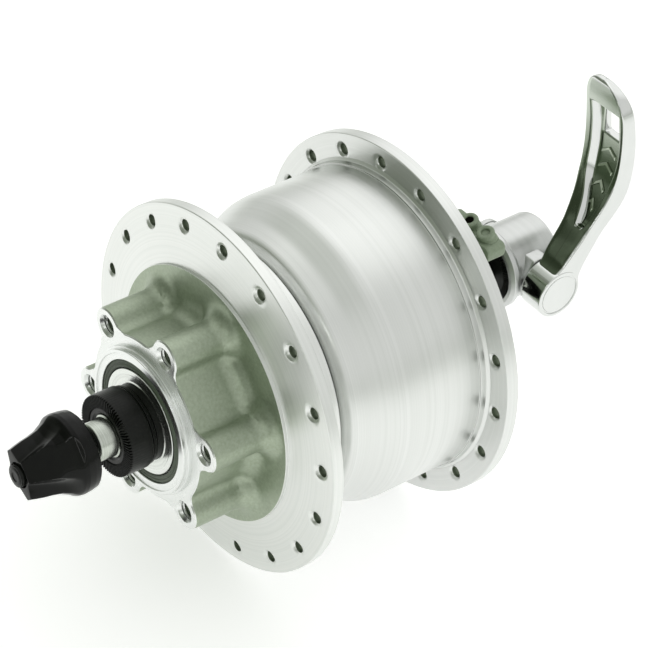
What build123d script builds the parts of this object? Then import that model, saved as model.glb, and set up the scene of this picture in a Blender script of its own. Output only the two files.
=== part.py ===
# A bicycle front hub with a generator inside, a six-bolt disc mount and a quick-release skewer.
#
# Frame: the origin is the wheel's centre on the axle, midway between the two dropout faces.
# +Y runs along the axle to the disc side, +Z is up with the lever and the plug socket on top,
# and -X is the side that the lever's pivot boss is on. Millimetres throughout.
#
# A place along the axle is called "along" and is a Y value. Where a piece exists on both sides,
# side is +1 on the disc side and -1 on the lever side.

import os
from math import cos, hypot, pi, radians, sin

from build123d import *

os.makedirs("parts", exist_ok=True)

overrun = 1.0  # how far a cutting solid runs past the face that it opens
near = 0.05  # how close an edge's middle lies to the face that it is picked by

# Axle and its fit in the fork
over_locknuts = 100.0
axle_diameter = 9.0
axle_thread = 10.0
axle_overhang = 4.5
skewer_diameter = 5.0
skewer_clearance = 0.3
axle_end_chamfer = 0.6

# Layout along the axle: each inset is from the dropout face on the same side,
# and each share is of the distance between the two flange faces
rotor_inset = 10.5
cone_inset = 7.6
ball_inset = 15.0
dust_cover_inset = 9.5
cover_hub_inset = 9.4
left_flange_inset = 28.1
right_flange_inset = 23.1
neck_end_share = 0.2664
drum_start_share = 0.5717

# Spoke flanges
flange_diameter = 88.0
spoke_edge = 4.0
spokes_per_flange = 18
spoke_hole = 2.6
spoke_countersink = 3.9
countersink_depth = 0.55
flange_chamfer = 0.45
left_flange_thickness = 3.1
left_spoke_phase = 12.67
right_flange_thickness = 3.2
right_spoke_phase = 2.33

# Disc mount casting
rotor_circle = 44.0
rotor_bolts = 6
rotor_bolt_bore = 4.2
rotor_bolt_depth = 11.0
rotor_bolt_mouth = 5.4
rotor_mouth_depth = 0.7
rotor_phase = 46.06
boss_diameter = 8.6
column_inset = 2.0
column_blend = 3.2
column_foot = 1.6
pilot_diameter = 35.0
pilot_height = 2.0
pilot_chamfer = 0.3
pilot_wall = 2.9
mount_rim = 4.2
mount_disc_rise = 2.2
mount_step = 0.8
neck_inset = 7.0
spigot_step = 2.4
spigot_length = 3.5
spigot_wall = 2.1
casting_wall = 3.0

# Drum
drum_gap = 3.0
drum_wall = 2.4
flange_root_blend = 1.3
shoulder_reach_share = [0.06, 0.33, 0.59, 0.80]
shoulder_rise_share = [0.28, 0.60, 0.77, 0.95]

# Bearings, one on each side
ball_diameter = 4.762
ball_count = 9
ball_circle = 17.2
race_clearance = 0.06
cup_wall = 1.419
cup_mouth_length = 3.0
cup_lip_gap = 0.1
cup_mouth_clearance = 0.15
cone_nose_step = 2.5
cone_nose_length = 2.6
cone_shank_step = 0.3
cage_wall = 1.6
cage_length = 2.2
cage_clearance = 0.45
pocket_clearance = 0.12

# Dust cover and seals
dust_cover_thickness = 0.6
seal_width = 1.85
seal_gap = 0.3
seal_thickness = 2.1
seal_seat_depth = 2.5
right_seal_thickness = 1.7

# Spacers and locknuts
locknut_diameter = 19.2
left_spacer_length = 1.2
right_spacer_length = 0.8
spacer_diameter = 18.6
spacer_chamfer = 0.5
tooth_count = 56
tooth_depth = 0.45
tooth_width_share = 0.5
tooth_ring_inner = 13.4
locknut_bore_chamfer = 0.6
locknut_edge = 0.5

# Generator
magnet_count = 28
magnet_gap_angle = 0.9
magnet_thickness = 1.9
yoke_thickness = 1.3
air_gap = 0.5
core_left_gap = 0.5
core_right_gap = 1.9
core_plate = 2.0
core_hub_diameter = 17.0
claw_thickness = 1.5
claw_root_width = 5.0
claw_tip_width = 3.0
claw_tip_gap = 1.4
bobbin_flange = 0.9
bobbin_gap = 1.4
bobbin_wall = 1.2
bobbin_play = 0.2
winding_inset = 1.0
stator_nut_flats = 15.0
stator_nut_length = 4.0

# Lead from the winding to the socket
lead_diameter = 1.0
lead_pitch = 1.1
lead_groove_width = 2.4
lead_groove_depth = 1.2
lead_bend = 1.6
lead_rise = 6.0

# End cover on the lever side
cover_wall = 2.2
cover_rim_length = 3.0
cover_hub_wall = 2.4
cover_dish_share = 0.4141
cover_dish_depth = 4.6
shell_ring_diameter = 1.3

# Plug socket on the axle, lever side
socket_collar_diameter = 17.6
socket_collar_length = 4.0
socket_block_length = 17.0
socket_block_shift = -6.6
socket_block_depth = 5.4
socket_block_height = 4.0
socket_block_base = 16.9
socket_block_inset = 0.9
socket_block_edge = 1.4
socket_arm_width = 10.0
nub_diameter = 4.4
nub_bore = 2.1
nub_height = 2.3
nub_lean = 20.0
nub_spacing = 5.7
nub_shift = -8.3
nub_inset = 0.7
contact_bore = 1.0
contact_diameter = 1.8
contact_depth = 2.2

# Quick release, cam end
housing_gap = 8.0
housing_length = 15.6
housing_diameter = 18.2
housing_lip_step = 1.0
housing_lip_length = 2.4
housing_edge = 0.9
housing_end_wall = 1.2
cam_axis_depth = 8.1
cam_journal_inset = 4.7
cam_clearance = 0.1
cam_throw = 0.9
cam_lobe_step = 1.0
eye_width = 5.0
eye_wall = 1.3
eye_clearance = 0.2
grip_wall = 0.9
grip_shelf = 1.7
grip_thickness = 1.6
grip_proud = 0.3
clip_step = 0.2
clip_thickness = 0.7
clip_groove_depth = 0.5
shaft_tail = 0.7
shaft_play = 0.2

# Lever
lever_reach = 50.2
lever_bow = 19.1
lever_width = 13.1
lever_boss_wall = 1.8
lever_boss_length = 6.6
lever_boss_gap = 0.3
lever_boss_depth = 5.6
lever_edge = 0.9
lever_neck_share = 0.22
lever_full_width_share = 0.56
lever_tip_round = 4.5
recess_depth = 2.0
recess_wall = 1.5
recess_inner_wall = 2.5
recess_share = (0.30, 0.51, 0.876)
recess_foot_width = 3.5
window_share = (0.71, 0.86)
window_wall = 3.1
outer_bow_share = [0.848, 0.890, 0.930, 0.977, 1.0, 0.977, 0.889, 0.752, 0.618, 0.497, 0.372, 0.300]
outer_reach_share = [1.0, 0.916, 0.811, 0.707, 0.590, 0.466, 0.386, 0.321, 0.263, 0.187, 0.108, 0.045]
inner_bow_share = [0.707, 0.691, 0.702, 0.725, 0.741, 0.722, 0.686, 0.571, 0.408, 0.304, 0.079]
inner_reach_share = [0.996, 0.934, 0.845, 0.743, 0.629, 0.548, 0.494, 0.414, 0.333, 0.277, 0.171]

# Quick release, adjusting nut
nut_gap = 6.9
nut_length = 15.3
nut_base_diameter = 18.3
nut_belly_diameter = 19.1
nut_belly_along = 3.4
nut_shoulder_diameter = 17.8
nut_shoulder_along = 5.2
nut_tip_diameter = 11.7
nut_waist_along = 12.1
nut_waist_diameter = 13.2
nut_flat_tip = 3.3
nut_fin_phase = 46.7
nut_flute_radius = 3.2
nut_flute_angle = 40.0
nut_flute_tip = 5.9
nut_bore_clearance = 0.1
nut_insert_wall = 1.85
nut_insert_length = 4.0
nut_insert_proud = 0.3
nut_edge = 0.4
rod_end_proud = 1.0

# Places along the axle, worked out from the values above
dropout_face = over_locknuts / 2
rotor_face = dropout_face - rotor_inset
cone_end = dropout_face - cone_inset
ball_plane = dropout_face - ball_inset
dust_cover_along = dropout_face - dust_cover_inset
cover_hub_end = -(dropout_face - cover_hub_inset)
left_flange_face = dropout_face - left_flange_inset
right_flange_face = -(dropout_face - right_flange_inset)
flange_span = left_flange_face - right_flange_face
left_flange_back = left_flange_face - left_flange_thickness
right_flange_back = right_flange_face - right_flange_thickness
mount_disc_face = left_flange_face + mount_disc_rise
flange_cone_rise = mount_disc_rise - mount_step
neck_end = left_flange_face - neck_end_share * flange_span
spigot_end = neck_end - spigot_length
drum_start = left_flange_face - drum_start_share * flange_span
core_left = drum_start - core_left_gap
core_right = right_flange_face + core_right_gap
core_middle = (core_left + core_right) / 2
core_width = core_left - core_right
plate_left = core_left - core_plate
plate_right = core_right + core_plate
right_cone_end = -cone_end
socket_collar_start = right_cone_end - right_spacer_length
socket_collar_end = socket_collar_start - socket_collar_length
socket_block_along = socket_collar_end + socket_block_inset
nub_along = socket_collar_end + nub_inset
housing_face = -(dropout_face + housing_gap)
cam_axis_along = housing_face - cam_axis_depth
nut_base = dropout_face + nut_gap
nut_end = nut_base + nut_length
rod_end = nut_end + rod_end_proud

# Widths worked out from the values above
axle_radius = axle_diameter / 2
thread_radius = axle_thread / 2
axle_bore = skewer_diameter / 2 + skewer_clearance
spoke_circle = flange_diameter - 2 * spoke_edge
drum_diameter = spoke_circle - 2 * drum_gap
drum_radius = drum_diameter / 2
drum_bore = drum_radius - drum_wall
neck_diameter = drum_diameter - 2 * neck_inset
spigot_diameter = neck_diameter - 2 * spigot_step
column_diameter = rotor_circle - 2 * column_inset
mount_disc_diameter = rotor_circle + boss_diameter + 2 * mount_rim
ball_radius = ball_diameter / 2
race_radius = ball_radius + race_clearance
cup_diameter = ball_circle + ball_diameter + 2 * cup_wall
cup_depth = ball_radius + cup_wall
cup_length = cup_depth + cup_mouth_length
cup_lip_diameter = ball_circle - 2 * cup_lip_gap
cone_nose_diameter = ball_circle - 2 * cone_nose_step
cone_shank_diameter = ball_circle + 2 * cone_shank_step
seal_diameter = pilot_diameter - 2 * pilot_wall
dust_cover_diameter = seal_diameter - 2 * (seal_width + seal_gap)
cover_hub_diameter = cup_diameter + 2 * cover_hub_wall
cover_dish_diameter = cover_hub_diameter + cover_dish_share * (2 * drum_bore - cover_hub_diameter)
core_diameter = 2 * (drum_bore - yoke_thickness - magnet_thickness - air_gap)
bobbin_diameter = core_diameter - 2 * (claw_thickness + bobbin_gap)
winding_diameter = bobbin_diameter - 2 * winding_inset
housing_lip_diameter = housing_diameter + 2 * housing_lip_step
grip_diameter = housing_diameter - 2 * grip_wall
cam_journal = housing_diameter - 2 * cam_journal_inset
cam_lobe = cam_journal - 2 * cam_lobe_step
housing_bore = grip_diameter - 2 * grip_shelf
clip_diameter = cam_journal + 2 * clip_step
lever_boss_diameter = cam_journal + 2 * lever_boss_wall
window_width = lever_width - 2 * window_wall
nut_insert_diameter = nut_base_diameter - 2 * nut_insert_wall
boss_start_x = -(housing_lip_diameter / 2 + lever_boss_gap)
lever_face_x = boss_start_x - lever_boss_length
groove_floor = thread_radius - lead_groove_depth
lead_height = groove_floor + lead_diameter / 2


def turned(points):
    """Turns an outline of (along, radius) points about the axle."""
    face = make_face(Polyline(*[(radius, along) for along, radius in points], close=True)).face()
    if face.normal_at().Z < 0:
        face = -face
    return revolve(face, Axis.Y)


def ring(start, end, inner, outer):
    return turned([(start, inner), (start, outer), (end, outer), (end, inner)])


def rod(start, end, radius):
    return turned([(start, 0), (start, radius), (end, radius), (end, 0)])


def around(radius, angle, along):
    """A place at a radius and an angle that runs from +X towards +Z."""
    return Pos(radius * cos(radians(angle)), along, radius * sin(radians(angle)))


def hole_along(radius, angle, start, end, hole_radius):
    length = abs(end - start)
    return around(radius, angle, (start + end) / 2) * Rot(X=90) * Cylinder(hole_radius, length)


def countersink(radius, angle, face, outward, mouth, hole_radius, depth):
    """A cone whose mouth is on a face that looks towards outward along the axle."""
    cone = Cone(hole_radius, mouth, depth)
    return around(radius, angle, face - outward * depth / 2) * Rot(X=-90 * outward) * cone


def flat_outline(points):
    """A face in the plane across the axle, from (x, z) points, at along = 0."""
    return make_face(Polyline(*[(x, 0, z) for x, z in points], close=True))


def spoke_holes(phase, front, back):
    """The cutting solids for one flange's spoke holes, with a countersink on each face."""
    cuts = []
    for index in range(spokes_per_flange):
        angle = phase + index * 360 / spokes_per_flange
        place = spoke_circle / 2
        cuts.append(hole_along(place, angle, front + overrun, back - overrun, spoke_hole / 2))
        mouth = spoke_countersink / 2
        cuts.append(countersink(place, angle, front, 1, mouth, spoke_hole / 2, countersink_depth))
        cuts.append(countersink(place, angle, back, -1, mouth, spoke_hole / 2, countersink_depth))
    return cuts


def face_teeth(face, outward, outer_radius):
    """Cutting solids for the radial grooves of a gripping face."""
    inner_radius = tooth_ring_inner / 2
    length = outer_radius - inner_radius + overrun
    width = pi * tooth_ring_inner / tooth_count * tooth_width_share
    middle = inner_radius + length / 2
    cuts = []
    for index in range(tooth_count):
        angle = index * 360 / tooth_count
        groove = Box(length, 2 * tooth_depth, width)
        cuts.append(around(middle, angle, face) * Rot(Y=-angle) * groove)
    return cuts


def axle():
    """The hollow axle: threaded between the dropouts and turned down at its ends."""
    tip = dropout_face + axle_overhang
    low = axle_radius - axle_end_chamfer
    relief = dropout_face - (thread_radius - axle_radius)
    half = [
        (relief, thread_radius), (dropout_face, axle_radius), (tip - axle_end_chamfer, axle_radius),
        (tip, low), (tip, axle_bore),
    ]
    body = turned([(-along, radius) for along, radius in reversed(half)] + half)
    start = plate_right + lead_bend
    length = start - socket_collar_end
    slot = Box(lead_groove_width, length, 2 * lead_groove_depth)
    return body - Pos(0, start - length / 2, thread_radius) * slot


def race(side):
    """The torus that the balls of one bearing roll in."""
    return Pos(0, side * ball_plane, 0) * Rot(X=90) * Torus(ball_circle / 2, race_radius)


def cone(side):
    """The cone screwed on the axle, with its race and the shank that the spacer rests on."""
    nose = ball_plane - cone_nose_length
    race_edge = ball_plane + race_radius + race_clearance
    shank = cone_shank_diameter / 2
    shoulder = ball_circle / 2
    outline = [
        (nose, thread_radius), (nose, cone_nose_diameter / 2), (ball_plane, cone_nose_diameter / 2),
        (ball_plane, shoulder), (race_edge, shoulder), (race_edge + cage_clearance, shank),
        (cone_end, shank), (cone_end, thread_radius),
    ]
    return turned([(side * along, radius) for along, radius in outline]) - race(side)


def cup(side):
    """The hardened cup pressed into the shell."""
    inner_end = ball_plane - cup_depth
    mouth = ball_circle / 2 + race_radius + cup_mouth_clearance
    outline = [
        (inner_end, cup_lip_diameter / 2), (inner_end, cup_diameter / 2),
        (inner_end + cup_length, cup_diameter / 2), (inner_end + cup_length, mouth),
        (ball_plane, mouth), (ball_plane, cup_lip_diameter / 2),
    ]
    return turned([(side * along, radius) for along, radius in outline]) - race(side)


def balls(side):
    ball_set = []
    for index in range(ball_count):
        place = around(ball_circle / 2, index * 360 / ball_count, side * ball_plane)
        ball_set.append(place * Sphere(ball_radius))
    return Compound(children=ball_set)


def ball_cage(side):
    outer = ball_circle / 2 + race_radius + cup_mouth_clearance - cage_clearance
    start = side * (ball_plane + race_clearance)
    end = start + side * cage_length
    cage = ring(start, end, outer - cage_wall, outer)
    pockets = []
    for index in range(ball_count):
        place = around(ball_circle / 2, index * 360 / ball_count, side * ball_plane)
        pockets.append(place * Sphere(ball_radius + pocket_clearance))
    return cage - pockets


def locknut(side, length):
    """A round locknut with a toothed gripping face towards the dropout."""
    radius = locknut_diameter / 2
    outer_face = dropout_face
    inner_face = dropout_face - length
    outline = [
        (inner_face, thread_radius), (inner_face, radius - locknut_edge),
        (inner_face + locknut_edge, radius), (outer_face - locknut_edge, radius),
        (outer_face, radius - locknut_edge), (outer_face, thread_radius + locknut_bore_chamfer),
        (outer_face - locknut_bore_chamfer, thread_radius),
    ]
    body = turned([(side * along, r) for along, r in outline])
    return body - face_teeth(side * outer_face, side, radius)


def left_locknut():
    return locknut(1, dropout_face - cone_end - left_spacer_length)


def right_locknut():
    return locknut(-1, dropout_face + socket_collar_end)


def spacer(side, length):
    radius = spacer_diameter / 2
    outline = [
        (cone_end, thread_radius), (cone_end, radius - spacer_chamfer),
        (cone_end + spacer_chamfer, radius), (cone_end + length, radius),
        (cone_end + length, thread_radius),
    ]
    return turned([(side * along, r) for along, r in outline])


def left_dust_cover():
    outer = dust_cover_diameter / 2
    shank = cone_shank_diameter / 2
    return ring(dust_cover_along, dust_cover_along + dust_cover_thickness, shank, outer)


def left_seal():
    """A rubber ring in the casting's mouth, running close round the dust cover."""
    seat = rotor_face + pilot_height - seal_seat_depth
    inner = dust_cover_diameter / 2 + seal_gap
    outer = seal_diameter / 2
    bead = (outer - inner) / 2
    end = seat + seal_thickness
    return turned([
        (seat, inner), (seat, outer), (end - bead, outer), (end, inner + bead), (end - bead, inner),
    ])


def right_seal():
    inner = cone_shank_diameter / 2 + seal_gap
    start = -(ball_plane - cup_depth + cup_length)
    return ring(start, start - right_seal_thickness, inner, cup_diameter / 2)


def lobed_column():
    """The column of six bolt bosses between the mount's disc and the rotor face."""
    profile = Plane.XY * Circle(column_diameter / 2)
    for index in range(rotor_bolts):
        angle = rotor_phase + index * 360 / rotor_bolts
        radius = rotor_circle / 2
        boss = Pos(radius * cos(radians(angle)), -radius * sin(radians(angle))) * Circle(boss_diameter / 2)
        profile += boss
    profile = fillet(profile.vertices(), column_blend)
    height = rotor_face - mount_disc_face
    column = extrude(profile, height)
    return Pos(0, mount_disc_face, 0) * Rot(X=-90) * column


def mount_base():
    """The turned body of the casting: its disc, the spoke flange, the neck and the spigot."""
    flange = flange_diameter / 2
    neck = neck_diameter / 2
    disc = mount_disc_diameter / 2
    slope_start = left_flange_face + flange_cone_rise
    slope_end = left_flange_face - flange_cone_rise / 3
    spigot = spigot_diameter / 2
    return turned([
        (mount_disc_face, 0), (mount_disc_face, disc), (slope_start, disc),
        (slope_end, flange - flange_chamfer),
        (slope_end - flange_chamfer, flange), (left_flange_back + flange_chamfer, flange),
        (left_flange_back, flange - flange_chamfer), (left_flange_back, neck + casting_wall),
        (left_flange_back - casting_wall, neck + casting_wall / 2),
        (left_flange_back - 2 * casting_wall, neck), (neck_end, neck), (neck_end, spigot),
        (spigot_end, spigot), (spigot_end, 0),
    ])


def mount_cavity():
    """The cored inside of the casting, from the spigot to the bearing."""
    spigot_bore = spigot_diameter / 2 - spigot_wall
    cup_floor = ball_plane - cup_depth
    nose = cone_nose_diameter / 2 + casting_wall
    return turned([
        (spigot_end - overrun, 0), (spigot_end - overrun, spigot_bore), (neck_end, spigot_bore),
        (left_flange_back, spigot_bore), (mount_disc_face, column_diameter / 2 - casting_wall),
        (cup_floor - casting_wall, nose), (cup_floor + overrun, nose), (cup_floor + overrun, 0),
    ])


def disc_mount():
    pilot = pilot_diameter / 2
    pilot_end = rotor_face + pilot_height
    seat = pilot_end - seal_seat_depth
    cup_floor = ball_plane - cup_depth
    column = lobed_column()
    base = mount_base()
    body = base + column
    foot = [edge for edge in body.edges() if on_foot(edge)]
    body = fillet(foot, column_foot)
    body += turned([
        (rotor_face, 0), (rotor_face, pilot), (pilot_end - pilot_chamfer, pilot),
        (pilot_end, pilot - pilot_chamfer), (pilot_end, 0),
    ])
    body -= rod(seat, pilot_end + overrun, seal_diameter / 2)
    body -= rod(cup_floor, seat + overrun, cup_diameter / 2)
    body -= mount_cavity()
    cuts = spoke_holes(left_spoke_phase, left_flange_face, left_flange_back)
    for index in range(rotor_bolts):
        angle = rotor_phase + index * 360 / rotor_bolts
        place = rotor_circle / 2
        depth = rotor_face - rotor_bolt_depth
        cuts.append(hole_along(place, angle, rotor_face + overrun, depth, rotor_bolt_bore / 2))
        mouth = rotor_bolt_mouth / 2
        cuts.append(countersink(place, angle, rotor_face, 1, mouth, rotor_bolt_bore / 2, rotor_mouth_depth))
    return body - cuts


def on_foot(edge):
    """True for the edges where the lobed column stands on the mount's disc."""
    middle = edge.position_at(0.5)
    radius = hypot(middle.X, middle.Z)
    on_face = abs(middle.Y - mount_disc_face) < near
    return on_face and radius < mount_disc_diameter / 2 - near


def drum_outline():
    """The drum's outer line, from the neck over the shoulder to the lever side's flange."""
    neck = neck_diameter / 2
    reach = neck_end - drum_start
    rise = drum_radius - neck
    points = [(neck_end, neck)]
    for reach_share, rise_share in zip(shoulder_reach_share, shoulder_rise_share):
        points.append((neck_end - reach_share * reach, neck + rise_share * rise))
    points.append((drum_start, drum_radius))
    return points


def drum_shell():
    """The turned drum, one piece with the flange on the lever side."""
    flange = flange_diameter / 2
    points = drum_outline()
    shoulder = Spline(*[(r, along) for along, r in points], tangents=[(1, 0), (0, -1)])
    rest = [
        (drum_start, drum_radius),
        (right_flange_face + flange_root_blend, drum_radius),
        (right_flange_face, drum_radius + flange_root_blend),
        (right_flange_face, flange - flange_chamfer),
        (right_flange_face - flange_chamfer, flange),
        (right_flange_back + flange_chamfer, flange),
        (right_flange_back, flange - flange_chamfer),
        (right_flange_back, drum_bore), (drum_start + drum_wall, drum_bore),
        (spigot_end, neck_diameter / 2), (spigot_end, spigot_diameter / 2),
        (neck_end, spigot_diameter / 2), (neck_end, neck_diameter / 2),
    ]
    edge = Polyline(*[(r, along) for along, r in rest])
    body = revolve(make_face([shoulder, edge]), Axis.Y)
    return body - spoke_holes(right_spoke_phase, right_flange_face, right_flange_back)


def shell_ring():
    """The rubber ring that closes the joint between the end cover and the drum."""
    radius = shell_ring_diameter / 2
    along = right_flange_back + cover_rim_length / 2
    return ring(along - radius, along + radius, drum_bore - shell_ring_diameter, drum_bore)


def end_cover():
    """The dished cover that closes the drum and holds the bearing on the lever side."""
    rim_start = right_flange_back + cover_rim_length
    rim_end = right_flange_back
    hub = cover_hub_diameter / 2
    dish = cover_dish_diameter / 2
    dish_along = rim_end - cover_dish_depth
    cup_floor = -(ball_plane - cup_depth)
    inner_lip = cone_nose_diameter / 2 + casting_wall
    body = turned([
        (rim_start, drum_bore - cover_wall), (rim_start, drum_bore), (rim_end, drum_bore),
        (dish_along, dish), (cover_hub_end, hub), (cover_hub_end, cup_diameter / 2),
        (cup_floor, cup_diameter / 2), (cup_floor, inner_lip), (cup_floor + cover_wall, inner_lip),
        (cup_floor + cover_wall / 2, hub - cover_wall), (dish_along + cover_wall, dish - cover_wall),
        (rim_end + cover_wall / 2, drum_bore - cover_wall),
    ])
    radius = shell_ring_diameter / 2
    along = right_flange_back + cover_rim_length / 2
    return body - ring(along - radius, along + radius, drum_bore - shell_ring_diameter, drum_bore)


def magnet_yoke():
    return ring(core_right, core_left, drum_bore - yoke_thickness, drum_bore)


def magnets():
    outer = drum_bore - yoke_thickness
    inner = outer - magnet_thickness
    pitch = 360 / magnet_count
    outline = Polyline(
        (inner, core_right), (outer, core_right), (outer, core_left), (inner, core_left), close=True)
    segment = revolve(make_face(outline), Axis.Y, pitch - magnet_gap_angle)
    return Compound(children=[Rot(Y=index * pitch) * segment for index in range(magnet_count)])


def claw_gap(start, end, angle):
    """The space between two neighbouring claws, as a cutting solid."""
    outer = core_diameter / 2
    pitch = 2 * pi * (outer - claw_thickness / 2) / (magnet_count // 2)
    root = (pitch - claw_root_width) / 2
    tip = (pitch - claw_tip_width) / 2
    outline = Polyline((-root, start), (root, start), (tip, end), (-tip, end), close=True)
    wedge = extrude(make_face(outline), amount=3 * claw_thickness, dir=(0, 0, 1))
    return Rot(Y=angle) * (Pos(0, 0, outer - 2 * claw_thickness) * wedge)


def stator_core(plate_edge, plate_face, hub_end, tip, offset):
    """Half of the claw-pole core: a plate, half of the hub and every other claw."""
    outer = core_diameter / 2
    hub = core_hub_diameter / 2
    body = turned([
        (plate_edge, thread_radius), (plate_edge, outer), (tip, outer), (tip, outer - claw_thickness),
        (plate_face, outer - claw_thickness), (plate_face, hub), (hub_end, hub), (hub_end, thread_radius),
    ])
    past = tip + (tip - plate_face) * bobbin_play / claw_thickness
    count = magnet_count // 2
    return body - [claw_gap(plate_face, past, offset + (index + 0.5) * 360 / count) for index in range(count)]


def lead_slot():
    """The slot that lets the lead out of the winding into the axle's groove."""
    start = plate_right + lead_diameter / 2 - lead_bend
    end = plate_right + lead_bend
    top = lead_height + lead_rise + lead_diameter
    height = top - groove_floor
    slot = Box(lead_groove_width, end - start, height)
    return Pos(0, (start + end) / 2, groove_floor + height / 2) * slot


def stator_core_left():
    tip = plate_right + claw_tip_gap
    return stator_core(core_left, plate_left, core_middle, tip, 0)


def stator_core_right():
    tip = plate_left - claw_tip_gap
    core = stator_core(core_right, plate_right, core_middle, tip, 180 / (magnet_count // 2))
    return core - lead_slot()


def coil_bobbin():
    hub = core_hub_diameter / 2 + bobbin_play
    left = plate_left - bobbin_play
    right = plate_right + bobbin_play
    outer = bobbin_diameter / 2
    wall = hub + bobbin_wall
    body = turned([
        (left, hub), (left, outer), (left - bobbin_flange, outer), (left - bobbin_flange, wall),
        (right + bobbin_flange, wall), (right + bobbin_flange, outer), (right, outer), (right, hub),
    ])
    return body - lead_slot()


def coil_winding():
    hub = core_hub_diameter / 2 + bobbin_play + bobbin_wall
    left = plate_left - bobbin_play - bobbin_flange
    right = plate_right + bobbin_play + bobbin_flange
    return ring(left, right, hub, winding_diameter / 2) - lead_slot()


def stator_nut(start, end):
    hexagon = RegularPolygon(stator_nut_flats / 2, 6, major_radius=False)
    length = abs(end - start)
    nut = Pos(0, min(start, end), 0) * Rot(X=-90) * extrude(hexagon, length)
    return nut - rod(min(start, end) - overrun, max(start, end) + overrun, thread_radius)


def lead_wire():
    """Two insulated strands side by side, up into the winding and out to the socket."""
    strands = []
    start = plate_right + lead_diameter / 2
    end = socket_collar_start - socket_collar_length / 2
    for share in (-1, 1):
        x = share * lead_pitch / 2
        path = FilletPolyline(
            (x, start, lead_height + lead_rise), (x, start, lead_height), (x, end, lead_height),
            radius=lead_bend)
        section = Plane((x, start, lead_height + lead_rise), z_dir=(0, 0, -1)) * Circle(lead_diameter / 2)
        strands.append(sweep(section, path))
    return Compound(children=strands)


def nub_places():
    """Places and lean of the socket's two nubs."""
    top = socket_block_base + socket_block_height
    shifts = (nub_shift - nub_spacing / 2, nub_shift + nub_spacing / 2)
    return [Pos(x, nub_along, top) * Rot(X=-nub_lean) for x in shifts]


def connector_body():
    """The socket: a collar on the axle, an arm, and a block with two wire nubs."""
    collar = ring(socket_collar_start, socket_collar_end, thread_radius, socket_collar_diameter / 2)
    middle = (socket_collar_start + socket_collar_end) / 2
    arm_height = socket_block_base + socket_block_height / 2 - thread_radius
    arm = Box(socket_arm_width, socket_collar_length, arm_height)
    arm = Pos(socket_block_shift / 2, middle, thread_radius + arm_height / 2) * arm
    arm -= rod(dropout_face, -dropout_face, (socket_collar_diameter + axle_thread) / 4)
    block = Box(socket_block_length, socket_block_depth, socket_block_height)
    block = fillet(block.edges().filter_by(Axis.Y), socket_block_edge)
    block_middle = socket_block_base + socket_block_height / 2
    body = collar + arm + Pos(socket_block_shift, socket_block_along, block_middle) * block
    for place in nub_places():
        length = nub_height + socket_block_height / 2
        body += place * Pos(0, 0, nub_height - length / 2) * Cylinder(nub_diameter / 2, length)
    for place in nub_places():
        length = nub_height + overrun
        body -= place * Pos(0, 0, length / 2) * Cylinder(nub_bore / 2, length)
        body -= place * Pos(0, 0, -contact_depth / 2) * Cylinder(contact_diameter / 2, contact_depth)
    groove = Box(lead_groove_width, socket_collar_length / 2, lead_groove_depth)
    groove_along = socket_collar_start - socket_collar_length / 4
    return body - Pos(0, groove_along, thread_radius) * groove


def connector_contacts():
    """The two brass tubes that the bared wires are pushed into."""
    tubes = []
    for place in nub_places():
        tube = Cylinder(contact_diameter / 2, contact_depth)
        tube -= Cylinder(contact_bore / 2, contact_depth + overrun)
        tubes.append(place * Pos(0, 0, -contact_depth / 2) * tube)
    return Compound(children=tubes)


def cam_axis(start_x, end_x, radius, drop=0):
    """A rod along the lever's pivot axis, drop millimetres further from the hub."""
    length = abs(end_x - start_x)
    middle = (start_x + end_x) / 2
    return Pos(middle, cam_axis_along - drop, 0) * Rot(Y=90) * Cylinder(radius, length)


def cam_housing():
    """The closed cup that holds the cam and pushes on the dropout."""
    radius = housing_diameter / 2
    lip = housing_lip_diameter / 2
    end = housing_face - housing_length
    lip_end = housing_face - housing_lip_length
    grip_floor = housing_face - grip_thickness + grip_proud
    body = turned([
        (housing_face, 0), (housing_face, lip - housing_edge), (housing_face - housing_edge, lip),
        (lip_end, lip), (lip_end - housing_edge, radius), (end + housing_edge, radius),
        (end, radius - housing_edge), (end, 0),
    ])
    body -= rod(grip_floor, housing_face + overrun, grip_diameter / 2)
    body -= rod(end + housing_end_wall, housing_face, housing_bore / 2)
    journal = cam_journal / 2 + cam_clearance
    return body - cam_axis(-radius - overrun, radius + overrun, journal)


def grip_ring():
    """The toothed steel insert in the housing's face."""
    start = housing_face + grip_proud
    end = start - grip_thickness
    bore = skewer_diameter / 2 + skewer_clearance
    return ring(start, end, bore, grip_diameter / 2) - face_teeth(start, 1, grip_diameter / 2)


def cam_shaft():
    """The shaft fixed in the lever, with the eccentric that pulls the skewer."""
    journal = cam_journal / 2
    tail = housing_diameter / 2 + shaft_play + clip_thickness + shaft_tail
    start = boss_start_x - lever_boss_depth
    eye_gap = eye_width / 2 + shaft_play
    body = cam_axis(start, -eye_gap, journal) + cam_axis(eye_gap, tail, journal)
    body += cam_axis(-eye_gap - overrun, eye_gap + overrun, cam_lobe / 2, cam_throw)
    groove_start = housing_diameter / 2 + shaft_play
    groove = cam_axis(groove_start, groove_start + clip_thickness, journal + overrun)
    groove -= cam_axis(groove_start - overrun, groove_start + clip_thickness + overrun, journal - clip_groove_depth)
    return body - groove


def shaft_clip():
    start = housing_diameter / 2 + shaft_play
    end = start + clip_thickness
    clip = cam_axis(start, end, clip_diameter / 2)
    return clip - cam_axis(start - overrun, end + overrun, cam_journal / 2 - clip_groove_depth)


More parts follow.
